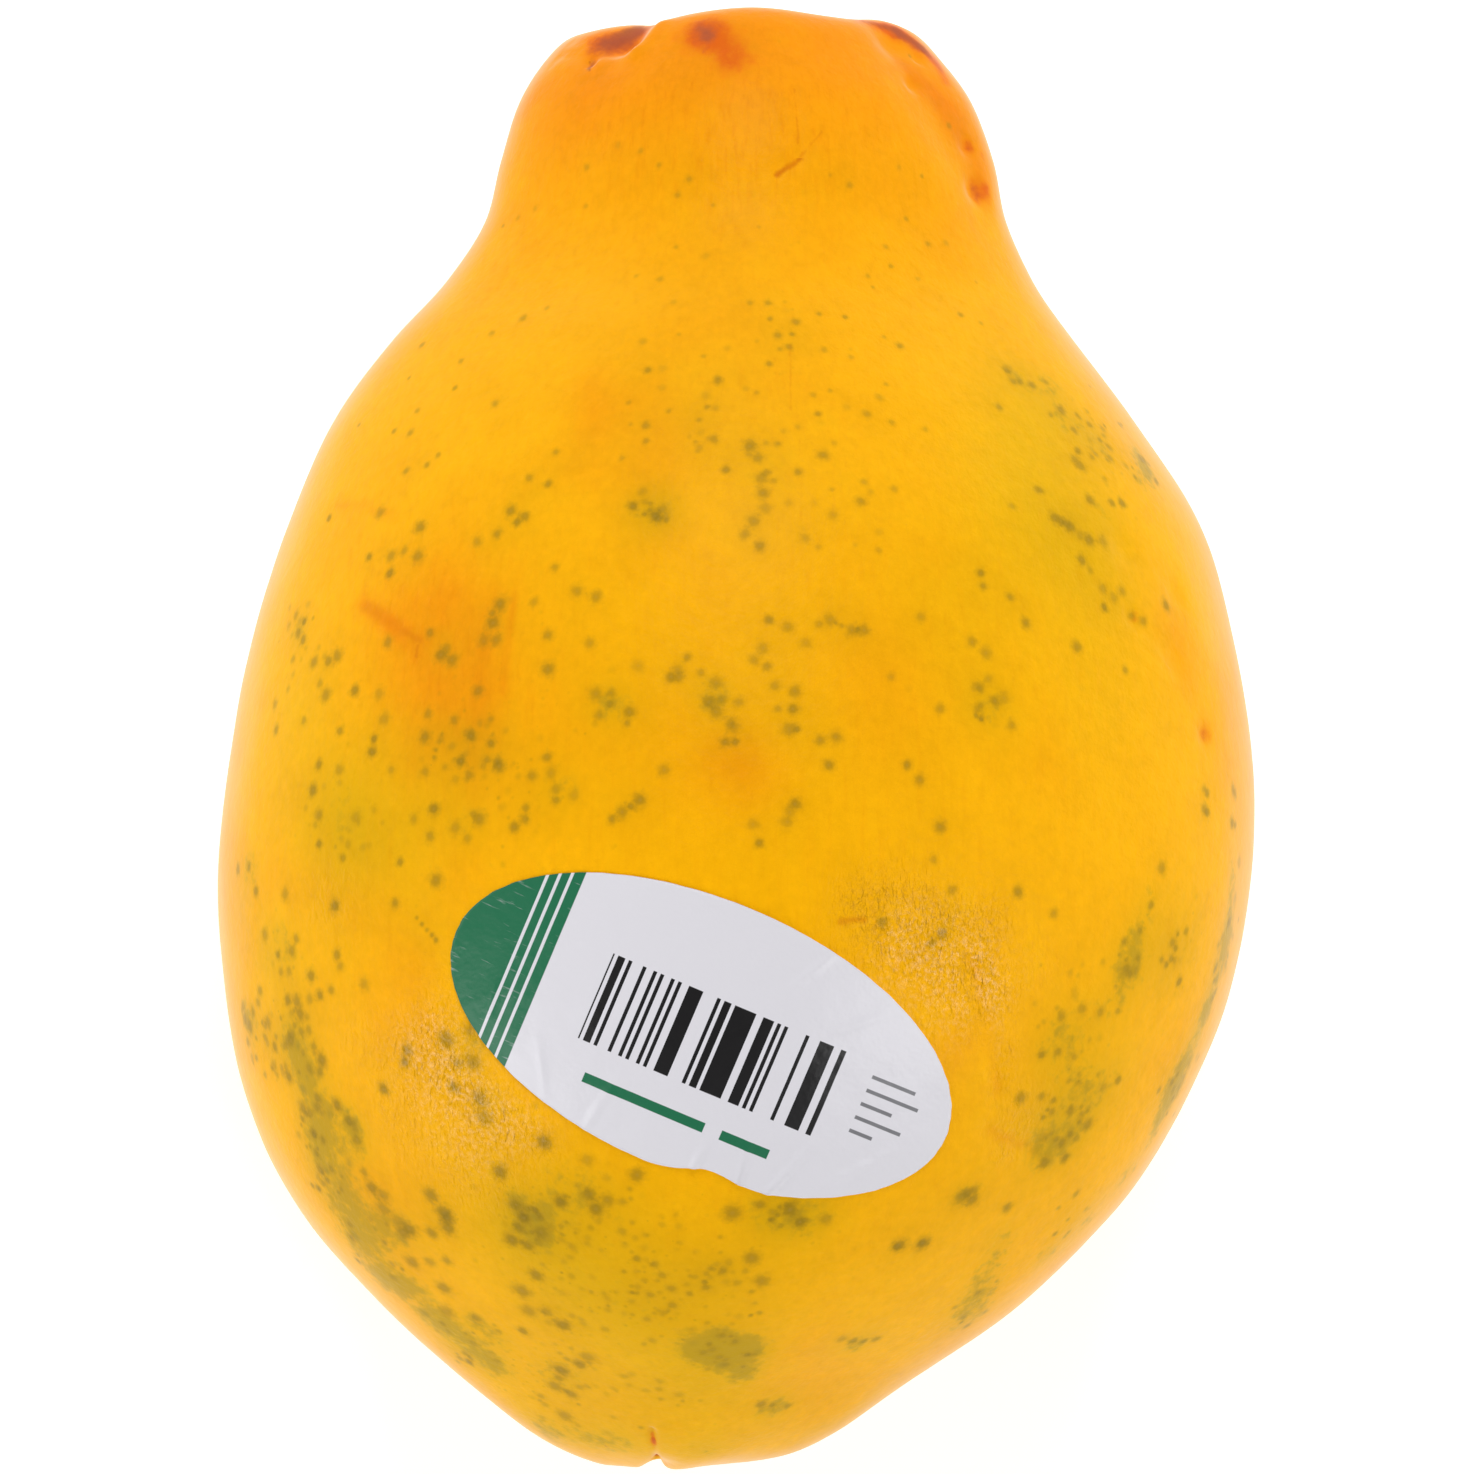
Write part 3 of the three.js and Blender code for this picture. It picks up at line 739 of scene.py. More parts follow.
def tint(red, green, blue):
    parts = [c / 255 for c in (red, green, blue)]
    return [c / 12.92 if c <= 0.04045 else ((c + 0.055) / 1.055) ** 2.4 for c in parts] + [1]


def node(tree, kind, inputs=(), **settings):
    made = tree.nodes.new("ShaderNode" + kind)
    for name, value in settings.items():
        setattr(made, name, value)
    for socket, value in dict(inputs).items():
        if isinstance(value, bpy.types.NodeSocket):
            tree.links.new(value, made.inputs[socket])
        else:
            made.inputs[socket].default_value = value
    return made


def calc(tree, operation, first, second=0.0, third=0.0, clamp=False):
    inputs = {0: first, 1: second, 2: third}
    return node(tree, "Math", inputs, operation=operation, use_clamp=clamp).outputs[0]


def vectorCalc(tree, operation, first, second=(0, 0, 0)):
    made = node(tree, "VectorMath", {0: first, 1: second}, operation=operation)
    return made.outputs["Value" if operation in ("LENGTH", "DOT_PRODUCT", "DISTANCE") else "Vector"]


def mix(tree, factor, under, over, mode="MIX"):
    return node(tree, "Mix", {0: factor, 6: under, 7: over}, data_type="RGBA", blend_type=mode).outputs[2]


def ease(tree, value, start, end):
    inputs = {"Value": value, "From Min": start, "From Max": end}
    return node(tree, "MapRange", inputs, interpolation_type="SMOOTHSTEP").outputs[0]


def between(tree, value, low, high, soft=0.03):
    inside = ease(tree, value, low - soft, low + soft)
    return calc(tree, "MULTIPLY", inside, ease(tree, value, high + soft, high - soft))


def grain(tree, place, size, detail=2.0, roughness=0.5, stretch=(1, 1, 1)):
    scaled = vectorCalc(tree, "MULTIPLY", place, [1 / (size * metre * s) for s in stretch])
    inputs = {"Vector": scaled, "Scale": 1.0, "Detail": detail, "Roughness": roughness}
    return node(tree, "TexNoise", inputs).outputs["Fac"]


def stored(tree, name, output="Fac"):
    return node(tree, "Attribute", attribute_name=name).outputs[output]


def newGroup(name, inputs, outputs):
    tree = bpy.data.node_groups.new(name, "ShaderNodeTree")
    for socket, kind in inputs.items():
        tree.interface.new_socket(name=socket, in_out="INPUT", socket_type="NodeSocket" + kind)
    for socket in outputs:
        tree.interface.new_socket(name=socket, in_out="OUTPUT", socket_type="NodeSocketFloat")
    return tree, tree.nodes.new("NodeGroupInput").outputs, tree.nodes.new("NodeGroupOutput").inputs


def useGroup(tree, group, inputs):
    made = tree.nodes.new("ShaderNodeGroup")
    made.node_tree = group
    for socket, value in inputs.items():
        if isinstance(value, bpy.types.NodeSocket):
            tree.links.new(value, made.inputs[socket])
        else:
            made.inputs[socket].default_value = value
    return made.outputs


def newMaterial(name):
    made = bpy.data.materials.new(name)
    made.use_nodes = True
    return made, made.node_tree, made.node_tree.nodes["Principled BSDF"]


# raggedness: size in mm, its most and least; halo, ring and dot: where each fades out and where it is full
poreShape = {
    "raggedSize": 0.55,
    "ragged": (1.2, 0.4),
    "halo": (1.0, 0.08),
    "ring": (0.58, 0.2),
    "dot": (0.2, 0.04),
}


def poreGroup():
    inputs = {"Place": "Vector", "At": "Vector", "Look": "Vector"}
    tree, given, put = newGroup("pore", inputs, ["Halo", "Ring", "Dot"])
    split = node(tree, "SeparateXYZ", {0: given["Look"]}).outputs
    uneven = grain(tree, given["Place"], poreShape["raggedSize"], 3, 0.6)
    ragged = calc(tree, "MULTIPLY_ADD", uneven, *poreShape["ragged"])
    away = vectorCalc(tree, "DISTANCE", given["Place"], given["At"])
    share = calc(tree, "DIVIDE", calc(tree, "MULTIPLY", away, ragged), split[0])
    for name in ("Halo", "Ring", "Dot"):
        part = calc(tree, "MULTIPLY", ease(tree, share, *poreShape[name.lower()]), split[1])
        tree.links.new(part, put[name])
    return tree


scratchWobble = {"scale": 900.0, "reach": 0.0005}


def scratchGroup():
    inputs = {"Place": "Vector", "From": "Vector", "Along": "Vector", "Look": "Vector"}
    tree, given, put = newGroup("scratch", inputs, ["Mark"])
    split = node(tree, "SeparateXYZ", {0: given["Look"]}).outputs
    inputs = {"Vector": given["Place"], "Scale": scratchWobble["scale"]}
    wobble = vectorCalc(tree, "SCALE", node(tree, "TexNoise", inputs).outputs["Color"])
    wobble.node.inputs["Scale"].default_value = scratchWobble["reach"]
    rel = vectorCalc(tree, "SUBTRACT", vectorCalc(tree, "ADD", given["Place"], wobble), given["From"])
    rel = vectorCalc(tree, "SUBTRACT", rel, [scratchWobble["reach"] / 2] * 3)
    squared = vectorCalc(tree, "DOT_PRODUCT", given["Along"], given["Along"])
    reach = calc(tree, "DIVIDE", vectorCalc(tree, "DOT_PRODUCT", rel, given["Along"]), squared, clamp=True)
    foot = vectorCalc(tree, "SCALE", given["Along"])
    tree.links.new(reach, foot.node.inputs["Scale"])
    away = vectorCalc(tree, "DISTANCE", rel, foot)
    share = calc(tree, "DIVIDE", away, split[0])
    tree.links.new(calc(tree, "MULTIPLY", ease(tree, share, 1.5, 0.1), split[1]), put["Mark"])
    return tree


def speckGroup():
    tree, given, put = newGroup("speck", {"Place": "Vector", "Density": "Float", "Rarity": "Float"}, ["Mark"])
    cells = node(tree, "TexVoronoi", {"Vector": given["Place"], "Scale": given["Density"]}).outputs
    chance = node(tree, "SeparateColor", {0: cells["Color"]}).outputs
    size = calc(tree, "MULTIPLY_ADD", chance[1], 0.2, 0.1)
    spot = ease(tree, calc(tree, "DIVIDE", cells["Distance"], size), 1.5, 0.1)
    some = calc(tree, "GREATER_THAN", chance[0], given["Rarity"])
    tone = calc(tree, "MULTIPLY_ADD", chance[2], 0.7, 0.3)
    tree.links.new(calc(tree, "MULTIPLY", calc(tree, "MULTIPLY", spot, some), tone), put["Mark"])
    return tree


# Kinds of speck: cells for each metre, and the share of them that stay empty.
speckKinds = {
    "blobs": (440.0, 0.1),
    "coarse": (640.0, 0.45),
    "small": (1150.0, 0.4),
    "vessels": (620.0, 0.1),
}


def specks(tree, group, place, kind):
    density, rarity = speckKinds[kind]
    return useGroup(tree, group, {"Place": place, "Density": density, "Rarity": rarity})["Mark"]


# Lengths in mm.
stemEnd = {
    "middle": (1.3, 64.0, 39.6),
    "radius": 8.8,
    "vessels": 6.0,
    "pith": 2.6,
    "cork": (176, 134, 84),
    "rim": (112, 74, 42),
    "middleColour": (150, 108, 66),
    "vessel": (84, 54, 34),
    "from": (59, 61),
    "edge": (0.4, 0.5),
    "ragged": (3.4, 1.0, -2.2),
    "rimWidth": 2.4,
    "ringHalf": 0.8,
    "drop": 0.3,
    "pithDrop": 0.3,
    "grit": 0.3,
    "vesselDrop": 0.15,
}

skinLook = {
    # place along the fruit in mm, colour
    "alongFruit": [
        (-66, (238, 174, 12)),
        (-50, (246, 178, 6)),
        (-30, (250, 179, 5)),
        (0, (250, 179, 6)),
        (25, (249, 178, 8)),
        (40, (248, 173, 8)),
        (52, (248, 166, 8)),
        (60, (248, 156, 8)),
        (67, (246, 148, 12)),
    ],
    "colours": {
        "blush": (232, 120, 4),
        "olive": (166, 138, 30),
        "limeTint": (216, 172, 4),
        "crowded": (206, 156, 8),
        "halo": (166, 128, 22),
        "ring": (112, 98, 28),
        "dot": (176, 146, 72),
        "scratch": (206, 104, 6),
        "rust": (222, 92, 20),
        "brown": (164, 86, 62),
        "speck": (166, 128, 18),
        "blob": (146, 126, 38),
        "streak": (222, 116, 2),
        # painted rim sheen: a pale colour standing in for the white surroundings reflected at the rims
        "paintedRimSheen": (242, 204, 166),
    },
    # how strongly each layer covers what is under it, from 0 to 1
    "share": {
        "warm": 0.22,
        "mottledLime": 0.16,
        "lime": 0.8,
        "orange": 0.72,
        "streak": 0.1,
        "striated": 0.22,
        "dapple": 0.6,
        "oliveLime": 0.6,
        "olive": 0.6,
        "blob": 0.6,
        "smallSpeck": 0.7,
        "halo": 0.72,
        "ring": 0.36,
        "dot": 0.24,
        "tipScar": 0.85,
        "rust": 0.85,
        "brown": 0.85,
        "paintedRimSheen": 0.62,
        "glint": 0.85,
    },
    # size in mm, detail, roughness, stretch
    "grain": {
        "broad": (22, 2),
        "mottle": (5, 3, 0.6),
        "fine": (1.1, 3, 0.6),
        "streaks": (0.55, 3, 0.65, (1, 11, 1.6)),
        "leather": (0.42, 2, 0.6),
        "pimples": (0.32, 2, 0.6),
        "lumps": (1.3, 3, 0.6),
        "folds": (1.3, 3, 0.6, (0.6, 1.5, 1)),
        "neckLines": (0.8, 2, 0.6, (1, 14, 1)),
    },
    "grainTurn": (0.6, 0.5, 0.8),  # radians, so that small grain doesn't run along the fruit's axes
    # mm
    "height": {
        "pimples": 0.026,
        "lumps": 0.11,
        "folds": 1.1,
        "foldsAllOver": 0.03,
        "leather": 0.1,
        "neckLines": 0.035,
        "bodyLines": 0.004,
        "brown": 0.08,
    },
    "neckFrom": (44, 56),  # where the lines on the neck fade in, in mm along the fruit
    "roughness": 0.34,
    "rougher": 0.12,
    "roughScars": 0.3,
    "ior": 1.13,
    "glintRoughness": 0.2,
    "glintIor": 1.4,
}


def alongFruitColour(tree, place):
    stops = skinLook["alongFruit"]
    y = node(tree, "SeparateXYZ", {0: place}).outputs[1]
    inputs = {"Value": y, "From Min": stops[0][0] * metre, "From Max": stops[-1][0] * metre}
    ramp = node(tree, "ValToRGB", {0: node(tree, "MapRange", inputs).outputs[0]})
    bar = ramp.color_ramp.elements
    while len(bar) < len(stops):
        bar.new(0.5)
    for element, (at, colour) in zip(bar, stops):
        element.position = (at - stops[0][0]) / (stops[-1][0] - stops[0][0])
        element.color = tint(*colour)
    return ramp.outputs[0]


# The corky scar where the stem was cut, with its ring of dried vessels.
def stemScar(tree, place, fine, mottle, speckMarks):
    look = stemEnd
    radius, pith = look["radius"], look["pith"]
    cork, rim = tint(*look["cork"]), tint(*look["rim"])
    middleColour, vessel = tint(*look["middleColour"]), tint(*look["vessel"])
    byMottle, byFine, less = look["ragged"]
    backFrom, backFull = (y * metre for y in look["from"])
    fromMiddle = vectorCalc(tree, "SUBTRACT", place, [c * metre for c in look["middle"]])
    away = vectorCalc(tree, "LENGTH", vectorCalc(tree, "MULTIPLY", fromMiddle, (1, 0, 1)))
    ragged = calc(tree, "MULTIPLY_ADD", mottle, byMottle, calc(tree, "MULTIPLY_ADD", fine, byFine, less))
    away = calc(tree, "MULTIPLY_ADD", away, 1 / metre, ragged)
    onEnd = ease(tree, node(tree, "SeparateXYZ", {0: place}).outputs[1], backFrom, backFull)
    inside = ease(tree, away, radius + look["edge"][0], radius - look["edge"][1])
    inside = calc(tree, "MULTIPLY", inside, onEnd)
    colour = mix(tree, ease(tree, away, radius - look["rimWidth"], radius), cork, rim)
    colour = mix(tree, ease(tree, away, pith + 0.8, pith - 0.8), colour, middleColour)
    ring = between(tree, away, look["vessels"] - look["ringHalf"], look["vessels"] + look["ringHalf"], 0.4)
    vessels = calc(tree, "MULTIPLY", ring, specks(tree, speckMarks, place, "vessels"))
    colour = mix(tree, vessels, colour, vessel)
    colour = mix(tree, calc(tree, "MULTIPLY", ease(tree, fine, 0.55, 0.75), 0.5), colour, rim)
    step = ease(tree, away, radius + 0.2, radius - 1.0)
    sunk = calc(tree, "MULTIPLY", ease(tree, away, pith + 1.5, pith - 1.0), -look["pithDrop"])
    height = calc(tree, "MULTIPLY_ADD", step, -look["drop"], sunk)
    height = calc(tree, "MULTIPLY_ADD", vessels, -look["vesselDrop"], height)
    height = calc(tree, "MULTIPLY_ADD", fine, look["grit"], height)
    return inside, colour, calc(tree, "MULTIPLY", height, inside)


def skinMaterial():
    made, tree, shader = newMaterial("papayaSkin")
    look = {name: tint(*colour) for name, colour in skinLook["colours"].items()}
    shares, sizes, heights = skinLook["share"], skinLook["grain"], skinLook["height"]
    place = node(tree, "TexCoord").outputs["Object"]
    turned = node(tree, "Mapping", {"Vector": place, "Rotation": skinLook["grainTurn"]}).outputs[0]
    broad = grain(tree, place, *sizes["broad"])
    mottle = grain(tree, turned, *sizes["mottle"])
    fine = grain(tree, turned, *sizes["fine"])
    colour = alongFruitColour(tree, place)
    warm = calc(tree, "MULTIPLY", ease(tree, broad, 0.5, 0.75), shares["warm"])
    colour = mix(tree, warm, colour, look["blush"])
    mottledLime = calc(tree, "MULTIPLY", ease(tree, mottle, 0.5, 0.8), shares["mottledLime"])
    colour = mix(tree, mottledLime, colour, look["limeTint"])
    lime = calc(tree, "MULTIPLY", stored(tree, "lime"), shares["lime"])
    colour = mix(tree, lime, colour, look["limeTint"])
    blotched = calc(tree, "MULTIPLY_ADD", mottle, 0.9, 0.45)
    orange = calc(tree, "MULTIPLY", stored(tree, "orange"), blotched, clamp=True)
    colour = mix(tree, calc(tree, "MULTIPLY", orange, shares["orange"]), colour, look["blush"])
    streaks = grain(tree, place, *sizes["streaks"])
    faintStreaks = calc(tree, "MULTIPLY", ease(tree, streaks, 0.42, 0.8), shares["streak"])
    colour = mix(tree, faintStreaks, colour, look["streak"])
    striated = calc(tree, "MULTIPLY", ease(tree, streaks, 0.45, 0.8), stored(tree, "striated"))
    colour = mix(tree, calc(tree, "MULTIPLY", striated, shares["striated"]), colour, look["streak"])
    colour = mix(tree, stored(tree, "crowded"), colour, look["crowded"])
    dapple = calc(tree, "MULTIPLY_ADD", calc(tree, "ADD", fine, mottle), 0.3, 0.7)
    shade = node(tree, "CombineColor", {0: dapple, 1: dapple, 2: dapple}).outputs[0]
    colour = mix(tree, shares["dapple"], colour, shade, "MULTIPLY")
    olive = stored(tree, "olive")
    colour = mix(tree, calc(tree, "MULTIPLY", olive, shares["oliveLime"]), colour, look["limeTint"])
    broken = calc(tree, "ADD", olive, -1.3)
    broken = calc(tree, "MULTIPLY_ADD", calc(tree, "ADD", fine, mottle), 1.3, broken)
    green = calc(tree, "MULTIPLY", ease(tree, broken, 0.15, 0.75), ease(tree, olive, 0.02, 0.25))
    colour = mix(tree, calc(tree, "MULTIPLY", green, shares["olive"]), colour, look["olive"])
    speckMarks = speckGroup()
    blobs, coarse, small = (specks(tree, speckMarks, place, kind) for kind in ("blobs", "coarse", "small"))
    small = calc(tree, "MULTIPLY", small, shares["smallSpeck"])
    speck = calc(tree, "ADD", small, coarse, clamp=True)
    specked = stored(tree, "specked")
    where = calc(tree, "MULTIPLY_ADD", specked, 0.62, ease(tree, mottle, 0.52, 0.75))
    where = calc(tree, "MULTIPLY", where, calc(tree, "MULTIPLY_ADD", specked, 0.8, 0.2), clamp=True)
    colour = mix(tree, calc(tree, "MULTIPLY", speck, where), colour, look["speck"])
    blobs = calc(tree, "MULTIPLY", blobs, ease(tree, olive, 0.08, 0.5))
    colour = mix(tree, calc(tree, "MULTIPLY", blobs, shares["blob"]), colour, look["blob"])
    group = poreGroup()
    marks = [
        useGroup(tree, group, {
            "Place": place,
            "At": stored(tree, f"poreAt{k}", "Vector"),
            "Look": stored(tree, f"poreLook{k}", "Vector"),
        })
        for k in range(poreLayers)
    ]
    for part in ("halo", "ring", "dot"):
        for mark in marks:
            share = calc(tree, "MULTIPLY", mark[part.capitalize()], shares[part], clamp=True)
            colour = mix(tree, share, colour, look[part])
    scratch = useGroup(tree, scratchGroup(), {
        "Place": place,
        "From": stored(tree, "scratchFrom", "Vector"),
        "Along": stored(tree, "scratchAlong", "Vector"),
        "Look": stored(tree, "scratchLook", "Vector"),
    })["Mark"]
    colour = mix(tree, scratch, colour, look["scratch"])
    scar, scarColour, scarHeight = stemScar(tree, place, fine, mottle, speckMarks)
    tip = calc(tree, "MULTIPLY", stored(tree, "tipScar"), shares["tipScar"])
    colour = mix(tree, tip, colour, look["brown"])
    colour = mix(tree, scar, colour, scarColour)
    uneven = calc(tree, "MULTIPLY_ADD", calc(tree, "ADD", fine, mottle), 0.7, -0.7)
    rust = ease(tree, calc(tree, "ADD", stored(tree, "rust"), uneven), 0.05, 0.85)
    rust = calc(tree, "MULTIPLY", rust, ease(tree, stored(tree, "rust"), 0.0, 0.15))
    colour = mix(tree, calc(tree, "MULTIPLY", rust, shares["rust"]), colour, look["rust"])
    brown = ease(tree, calc(tree, "ADD", stored(tree, "brown"), uneven), 0.1, 0.95)
    brown = calc(tree, "MULTIPLY", brown, ease(tree, stored(tree, "brown"), 0.0, 0.15))
    colour = mix(tree, calc(tree, "MULTIPLY", brown, shares["brown"]), colour, look["brown"])
    # Painted sheen: where the surface turns edge-on to the view, a pale pinkish colour is mixed into the base
    # colour, standing in for the reflection of the white surroundings at the rims.
    edge = node(tree, "LayerWeight", {0: 0.35}).outputs["Facing"]
    paintedRimSheen = calc(tree, "MULTIPLY", ease(tree, edge, 0.45, 1.0), shares["paintedRimSheen"])
    colour = mix(tree, paintedRimSheen, colour, look["paintedRimSheen"])
    tree.links.new(colour, shader.inputs["Base Color"])
    scars = calc(tree, "MAXIMUM", brown, scar)
    dull = calc(tree, "MULTIPLY_ADD", scars, skinLook["roughScars"], skinLook["roughness"])
    dull = calc(tree, "MULTIPLY_ADD", mottle, skinLook["rougher"], dull)
    tree.links.new(dull, shader.inputs["Roughness"])
    shader.inputs["IOR"].default_value = skinLook["ior"]
    wrinkled = stored(tree, "wrinkled")
    leather = grain(tree, turned, *sizes["leather"])
    glints = calc(tree, "MULTIPLY", wrinkled, ease(tree, leather, 0.4, 0.72))
    glints = calc(tree, "MULTIPLY", glints, shares["glint"], clamp=True)
    tree.links.new(glints, shader.inputs["Coat Weight"])
    shader.inputs["Coat Roughness"].default_value = skinLook["glintRoughness"]
    shader.inputs["Coat IOR"].default_value = skinLook["glintIor"]
    height = calc(tree, "MULTIPLY", grain(tree, turned, *sizes["pimples"]), heights["pimples"])
    lumps = grain(tree, turned, *sizes["lumps"])
    height = calc(tree, "MULTIPLY_ADD", lumps, heights["lumps"], height)
    creased = calc(tree, "SUBTRACT", grain(tree, place, *sizes["folds"]), 0.5)
    deep = calc(tree, "MULTIPLY_ADD", wrinkled, heights["folds"], heights["foldsAllOver"])
    folds = calc(tree, "MULTIPLY", calc(tree, "ABSOLUTE", creased), deep)
    height = calc(tree, "ADD", height, folds)
    leather = calc(tree, "MULTIPLY", leather, wrinkled)
    height = calc(tree, "MULTIPLY_ADD", leather, heights["leather"], height)
    y = node(tree, "SeparateXYZ", {0: place}).outputs[1]
    onNeck = ease(tree, y, *(at * metre for at in skinLook["neckFrom"]))
    onNeck = calc(tree, "MULTIPLY_ADD", onNeck, heights["neckLines"], heights["bodyLines"])
    height = calc(tree, "MULTIPLY_ADD", grain(tree, place, *sizes["neckLines"]), onNeck, height)
    height = calc(tree, "MULTIPLY_ADD", fine, calc(tree, "MULTIPLY", brown, heights["brown"]), height)
    height = calc(tree, "ADD", height, scarHeight)
    bump = node(tree, "Bump", {"Height": height, "Strength": 1.0, "Distance": metre})
    tree.links.new(bump.outputs[0], shader.inputs["Normal"])
    return made


papaya.data.materials.append(skinMaterial())
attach(papaya, "root")
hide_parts("fruit")
print("skin painted")

# Lengths in mm.
label = {
    "middle": (-3.2, -26.6),
    "long": 47.4,
    "wide": 24.4,
    "turn": -23,
    "lift": 0.06,
    "thickness": 0.1,
    "steps": (150, 84),
    "nickAt": -76,
    "nickWidth": 8,
    "nickDepth": 0.09,
    "waver": 0.003,
    "waverSize": 4,
    "creaseWidth": 0.35,
    "crumple": 0.05,
    "crumpleSize": 3.5,
    "mapSize": 50.0,
    # place along and across the label, direction in degrees, length and height in mm
    "creases": [
        (11.5, -9.0, 70, 3.5, 0.26),
        (8.0, -9.5, 100, 2.5, 0.2),
        (4.0, -10.5, 85, 2.0, 0.22),
        (7.0, 9.5, 60, 2.8, 0.2),
        (-6.0, -9.8, 80, 2.4, 0.16),
        (17.5, -5.5, 50, 2.6, 0.14),
        (-12.0, -8.0, 120, 2.4, 0.16),
        (-18.5, -4.0, 100, 2.4, 0.12),
        (12.5, 6.5, 40, 2.6, 0.12),
    ],
    "paper": (222, 220, 226),
    "green": (34, 110, 76),
    "ink": (30, 29, 30),
    "grey": (120, 120, 124),
    "capEdge": -15.0,
    "pinstripes": [-16.1, -17.1, -18.1],
    # left, right, bottom, top of the striped field
    "bars": (-10.0, 12.4, -4.4, 3.8),
    "barWidth": 0.34,
    # left, right, middle height, thickness
    "rules": [(-8.2, 3.4, -7.4, 0.9), (5.0, 9.6, -7.4, 0.9)],
    "lines": [(15.4, 19.6, 2.6), (15.4, 20.4, 1.3), (15.4, 18.4, 0.0), (15.4, 19.8, -1.3), (15.4, 17.6, -2.6)],
    "lineThickness": 0.34,
    "pinstripeHalf": 0.14,
    "barShare": 0.47,
    "scuffed": -0.35,
    "roughness": 0.26,
    "rougher": 0.12,
    "ior": 1.32,
    "fibreHeight": 0.008,
    "dimpleHeight": 0.14,
}


def labelLift(along, across):
    lift = label["lift"]
    for a, b, direction, length, height in label["creases"]:
        slant = math.radians(direction)
        da, db = along - a, across - b
        run = da * math.cos(slant) + db * math.sin(slant)
        side = -da * math.sin(slant) + db * math.cos(slant)
        lift += height * bell(run, length) * bell(side, label["creaseWidth"])
    size = label["crumpleSize"]
    return lift + label["crumple"] * abs(noise.noise(Vector((along / size, across / size, 4))))


def buildLabel():
    sheet = bmesh.new()
    stepsAlong, stepsAcross = label["steps"]
    bmesh.ops.create_grid(sheet, x_segments=stepsAlong, y_segments=stepsAcross, size=1, calc_uvs=True)
    printMap = sheet.loops.layers.uv.verify()
    slant = math.radians(label["turn"])
    mapSize = label["mapSize"]
    placed = {}
    for vertex in sheet.verts:
        a, b = vertex.co.x, vertex.co.y
        along, across = a * math.sqrt(1 - b * b / 2), b * math.sqrt(1 - a * a / 2)
        around = math.degrees(math.atan2(across, along))
        edge = math.hypot(along, across)
        nick = bell(turnedBetween(around, label["nickAt"]), label["nickWidth"])
        shrink = 1 - label["nickDepth"] * nick * edge**6
        shrink *= 1 + label["waver"] * noise.noise(Vector((around / label["waverSize"], 7, 1))) * edge**6
        along *= shrink * label["long"] / 2
        across *= shrink * label["wide"] / 2
        x = label["middle"][0] + along * math.cos(slant) - across * math.sin(slant)
        y = label["middle"][1] + along * math.sin(slant) + across * math.cos(slant)
        hit, facing, _, _ = skin.ray_cast(Vector((x, y, 150)), Vector((0, 0, -1)))
        vertex.co = (hit + facing * labelLift(along, across)) * metre
        placed[vertex.index] = (along / mapSize + 0.5, across / mapSize + 0.5)
    for face in sheet.faces:
        face.smooth = True
        for loop in face.loops:
            loop[printMap].uv = placed[loop.vert.index]
    mesh = bpy.data.meshes.new("paperLabel")
    sheet.to_mesh(mesh)
    sheet.free()
    mesh.uv_layers[0].name = "print"
    made = bpy.data.objects.new("paperLabel", mesh)
    bpy.context.scene.collection.objects.link(made)
    thick = made.modifiers.new("thickness", "SOLIDIFY")
    thick.thickness = label["thickness"] * metre
    thick.offset = 1
    return made


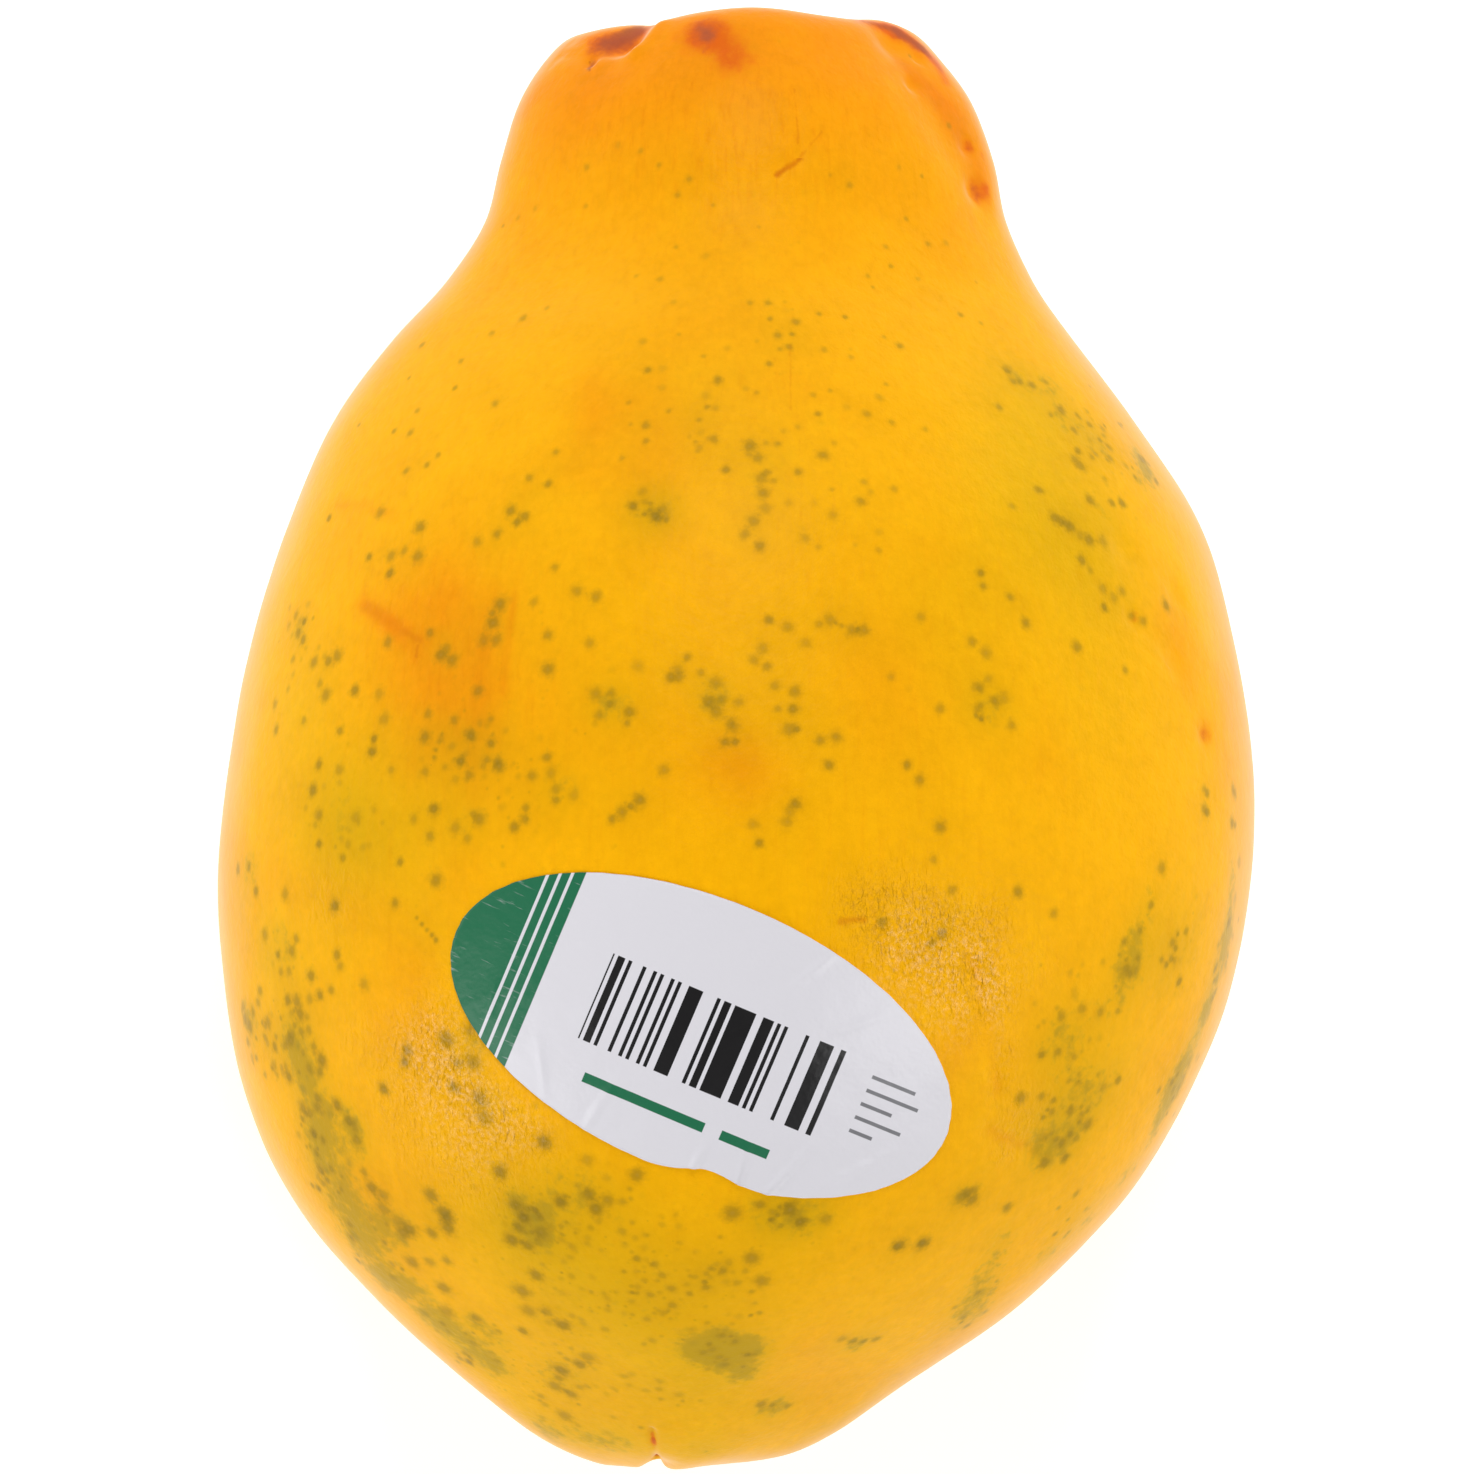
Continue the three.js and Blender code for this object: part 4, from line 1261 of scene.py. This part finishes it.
def labelMaterial():
    made, tree, shader = newMaterial("printedPaper")
    flat = node(tree, "UVMap", uv_map="print").outputs[0]
    split = node(tree, "SeparateXYZ", {0: flat}).outputs
    mapSize = label["mapSize"]
    along, across = (calc(tree, "MULTIPLY_ADD", split[k], mapSize, -mapSize / 2) for k in (0, 1))
    inMetres = vectorCalc(tree, "SCALE", flat)
    inMetres.node.inputs["Scale"].default_value = mapSize * metre
    worn = grain(tree, inMetres, 1.6, 4, 0.7)
    paper, green, ink, grey = (tint(*label[name]) for name in ("paper", "green", "ink", "grey"))
    cap = ease(tree, along, label["capEdge"] + 0.04, label["capEdge"] - 0.04)
    pinHalf = label["pinstripeHalf"]
    pins = [between(tree, along, at - pinHalf, at + pinHalf) for at in label["pinstripes"]]
    stripes = calc(tree, "ADD", calc(tree, "ADD", pins[0], pins[1]), pins[2])
    cap = calc(tree, "SUBTRACT", cap, stripes, clamp=True)
    scuffs = ease(tree, grain(tree, inMetres, 0.5, 3, 0.6, (6, 1, 1)), 0.6, 0.75)
    cap = calc(tree, "MULTIPLY_ADD", calc(tree, "MULTIPLY", cap, scuffs), label["scuffed"], cap)
    colour = mix(tree, cap, paper, green)
    left, right, bottom, top = label["bars"]
    cell = calc(tree, "FLOOR", calc(tree, "DIVIDE", along, label["barWidth"]))
    dice = node(tree, "TexWhiteNoise", {"W": cell}, noise_dimensions="1D").outputs["Value"]
    bars = calc(tree, "GREATER_THAN", dice, label["barShare"])
    field = calc(tree, "MULTIPLY", between(tree, along, left, right), between(tree, across, bottom, top))
    colour = mix(tree, calc(tree, "MULTIPLY", bars, field), colour, ink)
    for start, end, at, thick in label["rules"]:
        rule = between(tree, across, at - thick / 2, at + thick / 2)
        colour = mix(tree, calc(tree, "MULTIPLY", rule, between(tree, along, start, end)), colour, green)
    for start, end, at in label["lines"]:
        half = label["lineThickness"] / 2
        line = between(tree, across, at - half, at + half)
        colour = mix(tree, calc(tree, "MULTIPLY", line, between(tree, along, start, end)), colour, grey)
    tree.links.new(colour, shader.inputs["Base Color"])
    dull = calc(tree, "MULTIPLY_ADD", worn, label["rougher"], label["roughness"])
    tree.links.new(dull, shader.inputs["Roughness"])
    shader.inputs["IOR"].default_value = label["ior"]
    height = calc(tree, "MULTIPLY", grain(tree, inMetres, 0.5, 3, 0.6), label["fibreHeight"])
    dimples = grain(tree, inMetres, 3.0, 3, 0.6)
    height = calc(tree, "MULTIPLY_ADD", dimples, label["dimpleHeight"], height)
    bump = node(tree, "Bump", {"Height": height, "Strength": 1.0, "Distance": metre})
    tree.links.new(bump.outputs[0], shader.inputs["Normal"])
    return made


sticker = buildLabel()
sticker.data.materials.append(labelMaterial())
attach(sticker, "root")
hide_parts("label")
print("label stuck on")

# Lengths in metres.
stage = {
    "floorSize": 6.0,
    "floorGap": 0.00005,
    "floor": (250, 250, 250),
    "floorRoughness": 0.9,
    "skyLow": 0.9,
    "skyHigh": 0.08,
    "floorGlow": 0.4,
    "lampsAimAt": (0, 0, 0.045),
    # name, place in metres, size in metres, watts
    "lamps": [
        ("leftWindow", (-0.75, -0.42, 0.4), 0.5, 3.2),
        ("rightWindow", (0.7, -0.4, 0.65), 0.45, 3.2),
        ("backWindow", (0.0, 0.8, 0.85), 0.6, 6.4),
    ],
}


# The floor is clear from below, so that the underside of the fruit can be seen.
def buildStage():
    slab = bmesh.new()
    bmesh.ops.create_grid(slab, x_segments=1, y_segments=1, size=stage["floorSize"] / 2)
    mesh = bpy.data.meshes.new("floor")
    slab.to_mesh(mesh)
    slab.free()
    floor = bpy.data.objects.new("floor", mesh)
    bpy.context.scene.collection.objects.link(floor)
    floor.location.z = -stage["floorGap"]
    made, tree, shader = newMaterial("floor")
    shader.inputs["Base Color"].default_value = tint(*stage["floor"])
    shader.inputs["Roughness"].default_value = stage["floorRoughness"]
    shader.inputs["Emission Color"].default_value = (1, 1, 1, 1)
    shader.inputs["Emission Strength"].default_value = stage["floorGlow"]
    clear = tree.nodes.new("ShaderNodeBsdfTransparent")
    oneSided = node(tree, "MixShader", {0: node(tree, "NewGeometry").outputs["Backfacing"]})
    tree.links.new(shader.outputs[0], oneSided.inputs[1])
    tree.links.new(clear.outputs[0], oneSided.inputs[2])
    tree.links.new(oneSided.outputs[0], tree.nodes["Material Output"].inputs["Surface"])
    mesh.materials.append(made)
    target = Vector(stage["lampsAimAt"])
    for name, place, size, watts in stage["lamps"]:
        data = bpy.data.lights.new(name, "AREA")
        data.size = size
        data.energy = watts
        lamp = bpy.data.objects.new(name, data)
        lamp.location = place
        lamp.rotation_euler = (target - Vector(place)).to_track_quat("-Z", "Y").to_euler()
        bpy.context.scene.collection.objects.link(lamp)
    world = bpy.data.worlds.new("softWhite")
    world.use_nodes = True
    tree = world.node_tree
    up = node(tree, "SeparateXYZ", {0: node(tree, "TexCoord").outputs["Generated"]}).outputs[2]
    inputs = {"Value": up, "To Min": stage["skyLow"], "To Max": stage["skyHigh"]}
    tree.links.new(node(tree, "MapRange", inputs).outputs[0], tree.nodes["Background"].inputs["Strength"])
    tree.nodes["Background"].inputs["Color"].default_value = (1, 1, 1, 1)
    bpy.context.scene.world = world


def buildCamera():
    data = bpy.data.cameras.new("camera")
    data.sensor_width = view["sensor"]
    frameWidth = view["pixels"] / view["pixelsPerMm"]
    data.lens = view["sensor"] * (view["eyeHeight"] - view["plane"]) / frameWidth
    camera = bpy.data.objects.new("camera", data)
    camera.location = (0, 0, view["eyeHeight"] * metre)
    bpy.context.scene.collection.objects.link(camera)
    bpy.context.scene.camera = camera
    bpy.context.scene.view_settings.view_transform = "Standard"


buildStage()
buildCamera()
print("stage set")
